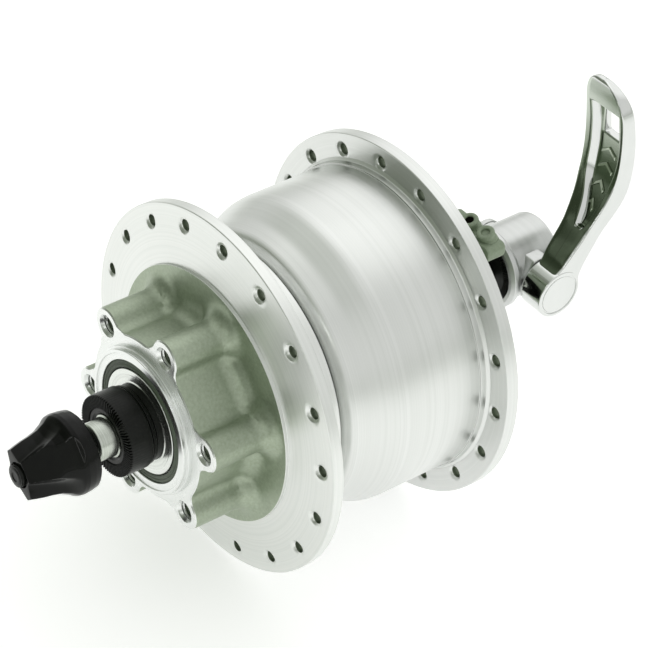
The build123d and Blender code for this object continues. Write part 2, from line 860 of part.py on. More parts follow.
def skewer_rod():
    """The rod, with the oblong eye at its cam end that leaves room for the lobe's side throw."""
    lobe = cam_lobe / 2
    along = cam_axis_along - cam_throw
    hole_half = lobe + eye_clearance
    slot_half = lobe + cam_throw + eye_clearance
    head = Box(eye_width, 2 * (hole_half + eye_wall), 2 * (slot_half + eye_wall))
    head = fillet(head.edges().filter_by(Axis.X), hole_half)
    opening = Box(eye_width + overrun, 2 * hole_half, 2 * slot_half)
    opening = fillet(opening.edges().filter_by(Axis.X), hole_half - eye_clearance / 2)
    body = rod(along, rod_end, skewer_diameter / 2) + Pos(0, along, 0) * head
    return body - Pos(0, along, 0) * opening


def lever_points(bow_shares, reach_shares):
    return [
        (0, cam_axis_along - bow * lever_bow, reach * lever_reach)
        for bow, reach in zip(bow_shares, reach_shares)
    ]


def lever_side():
    """The lever's side outline in the plane across its pivot, at x = 0."""
    outer = lever_points(outer_bow_share, outer_reach_share)
    inner = lever_points(inner_bow_share, inner_reach_share)
    outer_line = Spline(*outer)
    inner_line = Spline(*inner)
    low_inner = (0, cam_axis_along, lever_boss_diameter / 2 - lever_edge)
    low_outer = (0, cam_axis_along - lever_boss_diameter / 2 + lever_edge, 0)
    tip = Line(inner[0], outer[0])
    root = Polyline(outer[-1], low_outer, low_inner, inner[-1])
    return make_face([outer_line, tip, inner_line, root])


def lever_front():
    """The lever's front outline, from (x, z) points: narrow at the boss and full width above."""
    left = lever_face_x
    right = lever_face_x + lever_width
    neck = lever_neck_share * lever_reach
    full = lever_full_width_share * lever_reach
    low = -lever_boss_diameter
    top = lever_reach + overrun
    face = flat_outline([
        (left, low), (boss_start_x, low), (boss_start_x, neck), (right, full), (right, top), (left, top),
    ])
    block = extrude(face, amount=2 * lever_bow - cam_axis_along, dir=(0, -1, 0))
    upright = [edge for edge in block.edges().filter_by(Axis.Y) if edge.center().Z > lever_reach]
    return fillet(upright, lever_tip_round)


def lever_recess():
    """The shallow pocket on the hub side of the lever, that holds the raised marks."""
    inner = lever_points(inner_bow_share, inner_reach_share)
    line = Spline(*inner)
    back = Pos(0, -recess_depth, 0) * line
    ends = [Line(line @ 0, back @ 0), Line(line @ 1, back @ 1)]
    face = make_face([line, back] + ends)
    slab = Pos(lever_face_x, 0, 0) * extrude(face, amount=lever_width, dir=(1, 0, 0))
    low, bend, high = [share * lever_reach for share in recess_share]
    left = lever_face_x + recess_wall
    right = lever_face_x + lever_width - recess_inner_wall
    foot = left + recess_foot_width
    outline = flat_outline([(left, low), (foot, low), (right, bend), (right, high), (left, high)])
    return slab & extrude(outline, amount=2 * lever_bow - cam_axis_along, dir=(0, -1, 0))


def lever():
    depth = lever_width
    side = extrude(lever_side(), amount=depth, dir=(1, 0, 0))
    arm = (Pos(lever_face_x, 0, 0) * side) & lever_front()
    boss = cam_axis(boss_start_x, lever_face_x, lever_boss_diameter / 2)
    body = arm + boss
    body -= lever_recess()
    low = window_share[0] * lever_reach
    high = window_share[1] * lever_reach
    window = Box(window_width, 4 * lever_bow, high - low)
    window = fillet(window.edges().filter_by(Axis.Y), window_width / 2 - lever_edge)
    middle = lever_face_x + lever_width / 2
    body -= Pos(middle, cam_axis_along - lever_bow, (low + high) / 2) * window
    return body - cam_axis(boss_start_x + overrun, boss_start_x - lever_boss_depth, cam_journal / 2)


def nut_flats():
    """The two sloping cuts that leave the nut's fins standing."""
    start = nut_base + nut_shoulder_along
    run = nut_end - start
    top = nut_shoulder_diameter / 2
    outline = Polyline(
        (0, start - overrun, top + overrun), (0, nut_end + overrun, top + overrun),
        (0, nut_end + overrun, nut_flat_tip), (0, nut_end, nut_flat_tip),
        (0, start + run * nut_edge / 2, top), close=True)
    half = extrude(make_face(outline), amount=nut_belly_diameter / 2, dir=(1, 0, 0), both=True)
    return [half, Rot(Y=180) * half]


def nut_flute(angle):
    """One slanting round groove beside a fin."""
    start = nut_base + nut_shoulder_along
    run = nut_end - start
    top = nut_shoulder_diameter / 2 + nut_flute_radius
    low = nut_flute_tip
    slope = hypot(run, top - low)
    lean = (top - low) / slope
    length = slope + nut_length
    middle = (start + run / 2, (top + low) / 2)
    tool = Cylinder(nut_flute_radius, length)
    direction = Plane((0, middle[0], middle[1]), x_dir=(1, 0, 0), z_dir=(0, run / slope, -lean))
    return Rot(Y=angle) * (direction * tool)


def adjusting_nut():
    """The finned plastic nut, with its seat for the threaded insert."""
    base = nut_base
    body = turned([
        (base, 0), (base, nut_base_diameter / 2 - nut_edge), (base + nut_edge, nut_base_diameter / 2),
        (base + nut_belly_along, nut_belly_diameter / 2),
        (base + nut_shoulder_along, nut_shoulder_diameter / 2),
        (base + nut_waist_along, nut_waist_diameter / 2), (nut_end, nut_tip_diameter / 2), (nut_end, 0),
    ])
    body -= nut_flats()
    for side in (0, 180):
        body -= nut_flute(side + nut_flute_angle)
        body -= nut_flute(side - nut_flute_angle)
    body = Rot(Y=-nut_fin_phase) * body
    insert_end = base + nut_insert_length - nut_insert_proud
    body -= rod(base - overrun, insert_end, nut_insert_diameter / 2)
    return body - rod(base, nut_end + overrun, skewer_diameter / 2 + nut_bore_clearance)


def nut_insert():
    """The threaded steel insert, whose toothed face grips the dropout."""
    start = nut_base - nut_insert_proud
    end = start + nut_insert_length
    bore = skewer_diameter / 2 + nut_bore_clearance
    return ring(start, end, bore, nut_insert_diameter / 2) - face_teeth(start, -1, nut_insert_diameter / 2)


def report_lead():
    """Prints the lead's bend, and its volume against its section times its length."""
    length = lead_rise + (plate_right + lead_diameter / 2 - socket_collar_start + socket_collar_length / 2)
    length -= 2 * lead_bend - pi * lead_bend / 2
    section = pi * lead_diameter ** 2 / 4
    print(f"lead bend radius {lead_bend} mm, section times length {2 * section * length:.2f} mm3")


pieces = {
    "axle": axle(),
    "left_cone": cone(1),
    "right_cone": cone(-1),
    "left_cup": cup(1),
    "right_cup": cup(-1),
    "left_balls": balls(1),
    "right_balls": balls(-1),
    "left_ball_cage": ball_cage(1),
    "right_ball_cage": ball_cage(-1),
    "left_dust_cover": left_dust_cover(),
    "left_seal": left_seal(),
    "right_seal": right_seal(),
    "left_spacer": spacer(1, left_spacer_length),
    "right_spacer": spacer(-1, right_spacer_length),
    "left_locknut": left_locknut(),
    "right_locknut": right_locknut(),
    "disc_mount": disc_mount(),
    "drum_shell": drum_shell(),
    "end_cover": end_cover(),
    "shell_ring": shell_ring(),
    "magnet_yoke": magnet_yoke(),
    "magnets": magnets(),
    "stator_core_left": stator_core_left(),
    "stator_core_right": stator_core_right(),
    "coil_bobbin": coil_bobbin(),
    "coil_winding": coil_winding(),
    "stator_nut_left": stator_nut(core_left, core_left + stator_nut_length),
    "stator_nut_right": stator_nut(core_right, core_right - stator_nut_length),
    "lead_wire": lead_wire(),
    "connector_body": connector_body(),
    "connector_contacts": connector_contacts(),
    "cam_housing": cam_housing(),
    "grip_ring": grip_ring(),
    "cam_shaft": cam_shaft(),
    "shaft_clip": shaft_clip(),
    "skewer_rod": skewer_rod(),
    "lever": lever(),
    "adjusting_nut": adjusting_nut(),
    "nut_insert": nut_insert(),
}

for name, shape in pieces.items():
    export_step(shape, f"parts/{name}.step")
    print(name, f"{shape.volume:.1f} mm3")
report_lead()
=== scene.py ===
import math

import bmesh
import bpy
import numpy as np
from mathutils import Matrix, Vector
from mathutils.geometry import delaunay_2d_cdt


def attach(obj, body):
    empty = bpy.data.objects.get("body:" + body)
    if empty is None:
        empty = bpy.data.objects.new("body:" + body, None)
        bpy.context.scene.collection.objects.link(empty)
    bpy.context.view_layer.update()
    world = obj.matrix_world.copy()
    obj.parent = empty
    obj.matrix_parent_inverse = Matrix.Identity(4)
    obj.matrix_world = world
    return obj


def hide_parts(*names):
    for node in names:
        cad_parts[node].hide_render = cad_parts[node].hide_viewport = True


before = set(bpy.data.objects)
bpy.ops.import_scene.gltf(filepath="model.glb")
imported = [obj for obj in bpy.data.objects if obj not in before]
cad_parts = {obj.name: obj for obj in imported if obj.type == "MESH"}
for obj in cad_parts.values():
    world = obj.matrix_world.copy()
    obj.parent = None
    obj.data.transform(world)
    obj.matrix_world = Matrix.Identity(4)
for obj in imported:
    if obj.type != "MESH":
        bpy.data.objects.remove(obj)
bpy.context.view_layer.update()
mm = 0.001
print("frame loaded")


# Finishes. Each is built of shader nodes from its row in the tables below.

# Gives each socket its value, or the output that feeds it
def fill(tree, node, sockets):
    for name, value in sockets.items():
        if isinstance(value, bpy.types.NodeSocket):
            tree.links.new(value, node.inputs[name])
        else:
            node.inputs[name].default_value = value


def addNode(tree, kind, sockets, **settings):
    node = tree.nodes.new("ShaderNode" + kind)
    for name, value in settings.items():
        setattr(node, name, value)
    fill(tree, node, sockets)
    return node


def objectPlace(tree):
    return addNode(tree, "TexCoord", {}).outputs["Object"]


def speckle(tree, source, scale, detail=3.0, rough=0.55):
    sockets = {"Scale": scale, "Detail": detail, "Roughness": rough, "Vector": source}
    return addNode(tree, "TexNoise", sockets).outputs["Fac"]


def ramp(tree, source, stops):
    node = addNode(tree, "ValToRGB", {"Fac": source})
    band = node.color_ramp
    while len(band.elements) < len(stops):
        band.elements.new(0.5)
    for element, (place, colour) in zip(band.elements, stops):
        element.position = place
        element.color = (*colour, 1.0)
    return node.outputs["Color"]


def spread(tree, source, low, high):
    return addNode(tree, "MapRange", {"To Min": low, "To Max": high, "Value": source}).outputs["Result"]


def bumpFrom(tree, source, strength, depth):
    sockets = {"Strength": strength, "Distance": depth, "Height": source}
    return addNode(tree, "Bump", sockets).outputs["Normal"]


# Bright metal off a lathe: fine rings round the axle, and a faint cloudiness over them
def turnedMetal(tree, shader, dark, light, scale, cloud, rough, bump, grain=0.0):
    place = objectPlace(tree)
    split = addNode(tree, "SeparateXYZ", {0: place}).outputs
    flat = addNode(tree, "CombineXYZ", {"X": split["X"], "Y": split["Z"]})
    length = addNode(tree, "VectorMath", {0: flat.outputs[0]}, operation="LENGTH")
    rings = addNode(tree, "CombineXYZ", {"X": length.outputs["Value"], "Y": split["Y"]})
    lines = speckle(tree, rings.outputs[0], scale, 4.0, 0.7)
    clouds = spread(tree, speckle(tree, place, cloud, 2.0), -0.03, 0.05)
    roughness = addNode(tree, "Math", {0: spread(tree, lines, *rough), 1: clouds}, operation="ADD")
    fill(tree, shader, {"Base Color": ramp(tree, lines, [(0.25, dark), (0.75, light)]),
                        "Roughness": roughness.outputs[0], "Metallic": 1.0, "Anisotropic": grain,
                        "Normal": bumpFrom(tree, lines, bump, 0.00003)})


# A finish with a fine grain: blasted casting, moulded plastic, rubber or oxide
def grainyFinish(tree, shader, dark, light, scale, cloud, rough, bump, metal=0.0, specular=0.5):
    place = objectPlace(tree)
    grain = speckle(tree, place, scale, 4.0, 0.6)
    clouds = spread(tree, speckle(tree, place, cloud, 2.0), 0.0, 0.4)
    mixed = addNode(tree, "Math", {0: grain, 1: 0.6, 2: clouds}, operation="MULTIPLY_ADD")
    fill(tree, shader, {"Base Color": ramp(tree, mixed.outputs[0], [(0.3, dark), (0.75, light)]),
                        "Roughness": spread(tree, grain, *rough), "Metallic": metal,
                        "Specular IOR Level": specular, "Normal": bumpFrom(tree, grain, bump, 0.00008)})


# Chrome whose tint runs from dark at the lever's foot to pale at its tip, a painted reflection of the darker
# surround that the low part mirrors
def chromeWithPaintedReflection(tree, shader, cloud, rough, tints):
    place = objectPlace(tree)
    split = addNode(tree, "SeparateXYZ", {0: place}).outputs
    height = addNode(tree, "MapRange", {"From Min": 0.010, "From Max": 0.046, "Value": split["Z"]},
                     interpolation_type="SMOOTHSTEP")
    fill(tree, shader, {"Base Color": ramp(tree, height.outputs["Result"], tints), "Metallic": 1.0,
                        "Roughness": spread(tree, speckle(tree, place, cloud, 2.0), *rough)})


# Columns: the dark and the light tint, the scales of the lines or grain and of the cloudiness, the two
# ends of the roughness, the bump, and where they differ from the usual the streakiness, or the metal and
# the specular.
turnedLooks = {
    "turnedDrum": ((0.665, 0.679, 0.66), (0.769, 0.779, 0.765), 1500, 60, (0.27, 0.38), 0.07, 0.2),
    "turnedFlange": ((0.714, 0.733, 0.71), (0.818, 0.827, 0.808), 1700, 50, (0.30, 0.41), 0.08, 0.2),
    "machinedFace": ((0.72, 0.74, 0.72), (0.86, 0.87, 0.86), 1300, 90, (0.20, 0.32), 0.08),
    "satinHousing": ((0.582, 0.592, 0.582), (0.66, 0.669, 0.66), 900, 80, (0.28, 0.38), 0.03),
    "leverChrome": ((0.64, 0.655, 0.64), (0.728, 0.737, 0.728), 40, 70, (0.07, 0.12), 0.01),
    "axleSteel": ((0.42, 0.45, 0.40), (0.62, 0.65, 0.60), 1600, 90, (0.18, 0.30), 0.10),
    "bearingSteel": ((0.50, 0.51, 0.50), (0.66, 0.67, 0.66), 1400, 90, (0.12, 0.22), 0.06),
    "coverSteel": ((0.60, 0.62, 0.59), (0.78, 0.80, 0.77), 1500, 90, (0.16, 0.26), 0.08),
    "enamelCopper": ((0.36, 0.13, 0.055), (0.62, 0.27, 0.13), 2200, 70, (0.25, 0.4), 0.35),
}
grainyLooks = {
    "blastedCasting": ((0.29, 0.34, 0.25), (0.47, 0.53, 0.42), 1400, 45, (0.34, 0.50), 0.40, 0.82),
    # the end cover's casting is darker than the blasted casting, as painted shade for the hub's shaded far
    # side
    "coverCastingPaintedShade": ((0.19, 0.23, 0.165), (0.33, 0.38, 0.295), 1300, 45, (0.38, 0.56), 0.30, 0.6),
    # the insides of the holes are painted dark: painted shade
    "boreShade": ((0.10, 0.125, 0.085), (0.21, 0.25, 0.18), 1200, 60, (0.30, 0.45), 0.10, 0.6),
    "blackSteel": ((0.003, 0.0035, 0.003), (0.011, 0.013, 0.010), 1500, 60, (0.26, 0.36), 0.04, 0.0, 0.18),
    "glossBlackNut": ((0.002, 0.002, 0.002), (0.005, 0.006, 0.0045), 600, 60, (0.10, 0.17), 0.02, 0.0, 0.17),
    "sealRubber": ((0.045, 0.062, 0.038), (0.095, 0.125, 0.082), 900, 70, (0.45, 0.62), 0.10),
    "socketGrey": ((0.185, 0.235, 0.155), (0.285, 0.345, 0.245), 1300, 60, (0.42, 0.58), 0.15),
    "creamBobbin": ((0.45, 0.42, 0.33), (0.58, 0.55, 0.45), 700, 60, (0.4, 0.55), 0.08),
    "cageGrey": ((0.18, 0.19, 0.18), (0.28, 0.29, 0.28), 900, 60, (0.35, 0.5), 0.06),
    "contactBrass": ((0.55, 0.40, 0.17), (0.72, 0.55, 0.26), 900, 80, (0.22, 0.34), 0.05, 1.0),
    "coreIron": ((0.16, 0.16, 0.155), (0.30, 0.30, 0.29), 800, 60, (0.35, 0.5), 0.10, 0.8),
    "magnetFerrite": ((0.035, 0.035, 0.038), (0.075, 0.075, 0.078), 1000, 60, (0.45, 0.6), 0.12),
    "leadInsulation": ((0.03, 0.03, 0.03), (0.06, 0.06, 0.06), 900, 60, (0.35, 0.5), 0.05),
}
# columns: the scale of the cloudiness, the two ends of the roughness, and the tints from foot to tip, whose
# darker foot is painted reflection
paintedReflectionLooks = {
    "leverInner": (70, (0.13, 0.22), [(0.0, (0.10, 0.125, 0.085)), (0.45, (0.15, 0.185, 0.13)),
                                      (0.75, (0.31, 0.35, 0.285)), (1.0, (0.56, 0.60, 0.54))]),
    "leverMark": (70, (0.12, 0.20), [(0.0, (0.36, 0.41, 0.32)), (1.0, (0.50, 0.55, 0.46))]),
}


def newMaterial(name):
    material = bpy.data.materials.new(name)
    material.use_nodes = True
    return material, material.node_tree, material.node_tree.nodes["Principled BSDF"]


finishes = {}
for maker, looks in ((turnedMetal, turnedLooks), (grainyFinish, grainyLooks), (chromeWithPaintedReflection, paintedReflectionLooks)):
    for finishName, look in looks.items():
        finishes[finishName], finishTree, finishShader = newMaterial(finishName)
        maker(finishTree, finishShader, *look)

# the solids that stay as they are, by the finish that they wear
plainNodes = {
    "blackSteel": ["left_cone", "right_cone", "skewer_rod", "nut_insert"],
    "bearingSteel": ["left_cup", "right_cup", "left_balls", "right_balls", "stator_nut_left",
                     "stator_nut_right", "cam_shaft", "shaft_clip"],
    "cageGrey": ["left_ball_cage", "right_ball_cage"],
    "sealRubber": ["right_seal", "shell_ring"],
    "coreIron": ["magnet_yoke", "stator_core_left", "stator_core_right"],
    "magnetFerrite": ["magnets"],
    "creamBobbin": ["coil_bobbin"],
    "enamelCopper": ["coil_winding"],
    "leadInsulation": ["lead_wire"],
    "contactBrass": ["connector_contacts"],
}
for finishName, nodeNames in plainNodes.items():
    for nodeName in nodeNames:
        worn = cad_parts[nodeName].data.materials
        worn.clear()
        worn.append(finishes[finishName])
print("finishes made, solids finished")


# Making meshes. Coordinates are millimetres here and metres in the mesh.

# Its finishes are named in one line, and kinds says by number which of them each face wears
def makePiece(name, shape, finishNames, body, replaced=(), sharp=32.0, kinds=None, merge=0.0):
    points, faces = shape
    data = bpy.data.meshes.new(name)
    data.from_pydata([tuple(c * mm for c in p) for p in points], [], faces)
    for finish in finishNames.split():
        data.materials.append(finishes[finish])
    if kinds is not None:
        data.polygons.foreach_set("material_index", kinds)
    work = bmesh.new()
    work.from_mesh(data)
    if merge:
        bmesh.ops.remove_doubles(work, verts=work.verts, dist=merge * mm)
    bmesh.ops.recalc_face_normals(work, faces=work.faces)
    work.to_mesh(data)
    work.free()
    data.polygons.foreach_set("use_smooth", [True] * len(data.polygons))
    data.set_sharp_from_angle(angle=math.radians(sharp))
    piece = bpy.data.objects.new(name, data)
    bpy.context.scene.collection.objects.link(piece)
    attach(piece, body)
    if replaced:
        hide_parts(*replaced)
    return piece


def polar(radius, angle):
    return radius * math.cos(angle), radius * math.sin(angle)


def spun(p, angle):
    return (p[0] * math.cos(angle) - p[1] * math.sin(angle), p[0] * math.sin(angle) + p[1] * math.cos(angle))


# A point at a radius and an angle round the axle
def aroundAxle(radius, angle, along):
    return (radius * math.cos(angle), along, radius * math.sin(angle))


def ringOf(along, radius, count, phase=0.0):
    turn = 2 * math.pi / count
    return [aroundAxle(radius, phase + turn * k, along) for k in range(count)]


def circleLoop(centre, radius, count):
    turns = (2 * math.pi * k / count for k in range(count))
    return [(centre[0] + radius * math.cos(a), centre[1] + radius * math.sin(a)) for a in turns]


# Points and quads of rows of points that share a count and run round a loop
def stack(rows, closed=False):
    count = len(rows[0])
    faces = []
    for row in range(len(rows) if closed else len(rows) - 1):
        low, high = row * count, (row + 1) % len(rows) * count
        faces += [(low + k, low + (k + 1) % count, high + (k + 1) % count, high + k) for k in range(count)]
    return [p for row in rows for p in row], faces


# Several sets of points and faces as one
def joined(*parts):
    points, faces = [], []
    for morePoints, moreFaces in parts:
        shift = len(points)
        points += morePoints
        faces += [tuple(v + shift for v in face) for face in moreFaces]
    return points, faces


# A closed profile of (along, radius, edge) points with each corner rounded to its edge radius
def eased(profile, steps=4):
    points = []
    for index, (along, radius, *rest) in enumerate(profile):
        here = Vector((along, radius))
        before = Vector(profile[index - 1][:2])
        after = Vector(profile[(index + 1) % len(profile)][:2])
        if not rest or rest[0] <= 0:
            points.append(here)
            continue
        inward, outward = (before - here).normalized(), (after - here).normalized()
        turn = inward.angle(outward)
        reach = min(rest[0] / math.tan(turn / 2), 0.45 * (before - here).length, 0.45 * (after - here).length)
        size = reach * math.tan(turn / 2)
        centre = here + (inward + outward).normalized() * (size / math.sin(turn / 2))
        first, last = here + inward * reach, here + outward * reach
        support = min(0.1, reach)  # a short straight run each side keeps the shading of the flats even
        start = first - centre
        sweep = start.angle_signed(last - centre)
        points.append(first + inward * support)
        points += [centre + Vector(spun(start, -sweep * step / steps)) for step in range(steps + 1)]
        points.append(last + outward * support)
    return [(p.x, p.y) for p in points]


# An open line of (along, radius, edge) points with its corners eased and its ends kept
def chain(profile, steps=4):
    return eased([(*profile[0][:2], 0.0), *profile[1:-1], (*profile[-1][:2], 0.0)], steps)


# A smooth curve through the seen points, with so many steps from each to the next
def curveThrough(seen, steps):
    line = []
    for index in range(len(seen) - 1):
        near = [seen[min(max(index + k, 0), len(seen) - 1)] for k in (-1, 0, 1, 2)]
        for step in range(steps):
            t = step / steps
            line.append(tuple(0.5 * (2 * b + (c - a) * t + (2 * a - 5 * b + 4 * c - d) * t * t
                                     + (3 * b - 3 * c + d - a) * t ** 3) for a, b, c, d in zip(*near)))
    return line + [tuple(seen[-1])]


# A profile of (along, radius) turned about the axle
def lathe(profile, count=192, closed=True, phase=0.0):
    return stack([ringOf(along, radius, count, phase) for along, radius in profile], closed)


def turnedPiece(name, profile, finish, body, replaced, count=128):
    makePiece(name, lathe(eased(profile), count), finish, body, replaced, merge=0.002)


# Triangles of a flat face between loops of (x, z), kept where inside says so
def flatFace(loops, inside, along):
    coords, edges = [], []
    for loop in loops:
        base = len(coords)
        coords += [Vector(p) for p in loop]
        edges += [(base + k, base + (k + 1) % len(loop)) for k in range(len(loop))]
    found, _, triangles, *_rest = delaunay_2d_cdt(coords, edges, [], 0, 1e-7)
    kept = [tri for tri in triangles if inside(sum((found[v] for v in tri), Vector((0, 0))) / 3)]
    return [(p.x, along, p.y) for p in found], [tuple(t) for t in kept]


# Mean place of a face along the axle, and out from it
def faceMiddle(points, face):
    x, along, z = (sum(points[v][axis] for v in face) / len(face) for axis in range(3))
    return along, math.hypot(x, z), math.atan2(z, x)


# Spoked flanges. A patch of each sector carries one spoke hole, and the rest is turned.

spokeHoles = dict(
    count=18, columns=16, side=6, circle=40.0, outer=42.9, bore=1.3, mouth=1.95, sink=0.55, edge=0.12,
    fade=(0.0, 0.45, 0.8, 1.0))


# The outline of one sector patch as (angle, radius), walked round its hole
def sectorLoop(low, high):
    half = math.pi / spokeHoles["count"]
    columns, side = spokeHoles["columns"], spokeHoles["side"]
    loop = [(-half + 2 * half * k / columns, low) for k in range(columns)]
    loop += [(half, low + (high - low) * k / side) for k in range(side)]
    loop += [(half - 2 * half * k / columns, high) for k in range(columns)]
    return loop + [(-half, high - (high - low) * k / side) for k in range(side)]


# A flange with its spoke holes. Rim and body are turned, and run from patch to patch round the section
def spokedFlange(size, bodyChain, frontAt, backAt):
    circle, mouth, bore, sink, edge, outer = (
        spokeHoles[key] for key in ("circle", "mouth", "bore", "sink", "edge", "outer"))
    turn, half = math.radians(size["phase"]), math.pi / spokeHoles["count"]
    rim, bend, foot = size["rim"], size["bend"], size["back"]
    rimChain = chain([(frontAt(outer), outer), (frontAt(bend), bend), (frontAt(rim), rim, 0.42),
                      (foot, rim, 0.42), (foot, 43.4), (foot, outer)])
    flat = [(r * math.sin(a), r * math.cos(a) - circle) for a, r in sectorLoop(size["inner"], outer)]
    aims = [math.atan2(v, u) for u, v in flat]
    front, back = frontAt(circle), backAt(circle)
    outward = 1.0 if front > back else -1.0

    # Rows are (across, out, along) in a sector's own frame. These run from its outline to the hole's mouth
    def patchRow(share, at):
        lip = mouth + edge
        row = [(u + (lip * math.cos(a) - u) * share, v + (lip * math.sin(a) - v) * share)
               for (u, v), a in zip(flat, aims)]
        return [(x, y, at(math.hypot(x, y + circle))) for x, y in row]

    # and these round the hole
    def holeRow(radius, at):
        row = [(radius * math.cos(a), radius * math.sin(a)) for a in aims]
        return [(x, y, at(math.hypot(x, y + circle))) for x, y in row]

    rows = [patchRow(share, frontAt) for share in spokeHoles["fade"]]
    rows.append(holeRow(mouth, lambda r: frontAt(r) - outward * edge * 0.4))
    steps = [(bore + edge * 0.5, sink - edge * 0.5), (bore, sink + edge)]
    rows += [holeRow(radius, lambda r: front - outward * deep) for radius, deep in steps]
    rows += [holeRow(radius, lambda r: back + outward * deep) for radius, deep in reversed(steps)]
    rows.append(holeRow(mouth, lambda r: backAt(r) + outward * edge * 0.4))
    rows += [patchRow(share, backAt) for share in reversed(spokeHoles["fade"])]
    sectors = []
    for sector in range(spokeHoles["count"]):
        middle = turn + 2 * half * sector
        sectors.append(stack([
            [aroundAxle(math.hypot(x, y + circle), middle + math.atan2(x, y + circle), along)
             for x, y, along in row] for row in rows]))
    turned = [lathe(line, size["sides"], closed=False, phase=turn - half) for line in (rimChain, bodyChain)]
    return joined(*turned, *sectors)


# True inside a spoke hole's bore, which is painted dark as painted shade beside its bright mouth
def inSpokeHole(radius, angle, phase):
    step = 2 * math.pi / spokeHoles["count"]
    fold = (angle - math.radians(phase) + step / 2) % step - step / 2
    away = math.hypot(radius * math.sin(fold), radius * math.cos(fold) - spokeHoles["circle"])
    return away < spokeHoles["bore"] + 0.05


# Near flange, disc and neck: the turned part of the casting.

nearSize = dict(
    phase=12.67, sides=288, rim=44.0, bend=43.5, inner=36.9, discRadius=30.5, discFace=24.1, stepFoot=23.25,
    faceEdge=21.45, back=18.8, neck=31.4, neckEnd=9.0, seam=30.0, spigot=27.6, spigotEnd=5.4, spigotBore=25.5)


# The flange's face is a shallow cone
def nearFace(radius):
    share = (radius - nearSize["discRadius"]) / (nearSize["rim"] - nearSize["discRadius"])
    return nearSize["stepFoot"] + (nearSize["faceEdge"] - nearSize["stepFoot"]) * share


def nearFlange():
    size = nearSize
    back, neckEnd, disc, spigot, spigotEnd, spigotBore = (
        size[key] for key in ("back", "neckEnd", "discFace", "spigot", "spigotEnd", "spigotBore"))
    body = chain([
        (back, size["inner"]), (back, 35.4, 0.9), (16.2, 33.2, 0.9), (13.4, size["neck"], 1.6),
        (9.95, size["neck"] + 0.2, 0.35), (neckEnd, size["seam"], 0.12), (neckEnd, spigot, 0.2),
        (spigotEnd, spigot, 0.3), (spigotEnd, spigotBore, 0.3), (18.0, spigotBore, 1.5), (24.0, 17.0, 0.2),
        (disc, 18.0), (disc, 30.2), (disc, size["discRadius"], 0.22),
        (size["stepFoot"], size["discRadius"], 0.16), (nearFace(31.2), 31.2),
        (nearFace(size["inner"]), size["inner"])])
    points, faces = spokedFlange(size, body, nearFace, lambda r: back)
    # the disc's top and the neck's inside stay as cast, everything else on the flange is turned bright
    kinds = []
    for face in faces:
        along, radius, angle = faceMiddle(points, face)
        asCast = along > disc - 0.02 or (radius < spigotBore + 0.4 and along > 6)
        kinds.append(1 if asCast else 2 if inSpokeHole(radius, angle, size["phase"]) else 0)
    makePiece("nearFlange", (points, faces), "turnedFlange blastedCasting boreShade", "shell",
              ["disc_mount"], sharp=35, kinds=kinds, merge=0.004)


# Far flange and drum, turned from one piece.

farSize = dict(
    phase=2.33, sides=288, rim=44.0, bend=43.4, inner=37.95, front=-26.9, back=-30.1, drum=37.0, bore=34.6,
    boreFrom=36.9, spigot=27.8, seam=8.86, seamRadius=30.0,
    shoulder=[(8.62, 31.45), (7.5, 32.75), (5.2, 33.55), (2.9, 34.25), (0.1, 35.4), (-3.1, 36.62),
              (-6.0, 37.0)])


def farDrum():
    size = farSize
    front, back, drum, bore, spigot, seam, seamRadius = (
        size[key] for key in ("front", "back", "drum", "bore", "spigot", "seam", "seamRadius"))
    inside = eased([(back, size["boreFrom"]), (back, bore, 0.35), (-8.4, bore, 1.6), (5.4, seamRadius, 0.4),
                    (5.4, spigot, 0.2), (seam, spigot, 0.15), (seam, seamRadius, 0.1)])
    outside = chain([
        (-6.0, drum), (-24.4, drum), (-24.9, drum, 0.12), (-24.9, 37.35, 0.12), (-25.5, 37.45, 0.15),
        (-26.3, 37.55, 0.4), (front, 38.2, 0.3), (front, 38.3)])
    body = [(back, size["inner"]), *inside[1:-1], (seam, seamRadius), *curveThrough(size["shoulder"], 6),
            *outside[1:-1], (front, size["inner"])]
    points, faces = spokedFlange(size, body, lambda r: front, lambda r: back)
    kinds = [int(inSpokeHole(*faceMiddle(points, face)[1:], size["phase"])) for face in faces]
    makePiece("farDrum", (points, faces), "turnedDrum boreShade", "shell", ["drum_shell"],
              sharp=35, kinds=kinds, merge=0.004)


nearFlange()
farDrum()
print("flanges made")


# Column of six bolt bosses, blasted, with its machined face and pilot ring.

columnSize = dict(
    phase=46.06, bosses=6, circle=22.0, boss=4.3, core=20.0, blend=3.2, top=39.5, disc=24.1, foot=4.0,
    reach=30.28, edge=0.3, pilot=17.5, pilotStep=17.05, pilotTop=41.5, boltBore=2.1, boltMouth=2.75,
    boltDeep=28.5, boltBright=2.0, threadTop=0.75, threadEnd=6.0, threadPitch=0.8, threadDepth=0.34,
    sealSeat=39.0, sealBore=14.6, cupBore=12.4, cupFloor=31.2, nose=9.1)


# The column's outline as (x, z) points, round all six lobes
def lobedOutline(grow=0.0):
    size = columnSize
    boss, core, blend = size["boss"] + grow, size["core"] + grow, size["blend"] - grow
    centreOut = core + blend
    cosine = (size["circle"] ** 2 + centreOut ** 2 - (boss + blend) ** 2) / (2 * size["circle"] * centreOut)
    turn = math.acos(cosine)
    centre = Vector(polar(centreOut, turn))
    middle = Vector((size["circle"], 0.0))
    joint = (centre - middle).angle_signed(Vector((1.0, 0.0)))
    half = [middle + boss * Vector(polar(1.0, joint * step / 12)) for step in range(13)]
    start = half[-1] - centre
    sweep = start.angle(-centre.normalized() * blend)
    half += [centre + Vector(spun(start, -sweep * step / 10)) for step in range(1, 11)]
    sixth = math.pi / size["bosses"]
    half += [Vector(polar(core, turn + (sixth - turn) * step / 6)) for step in range(1, 7)]
    lobe = [Vector((p.x, -p.y)) for p in reversed(half[1:-1])] + half
    return [spun(p, math.radians(size["phase"]) + 2 * sixth * k) for k in range(size["bosses"]) for p in lobe]


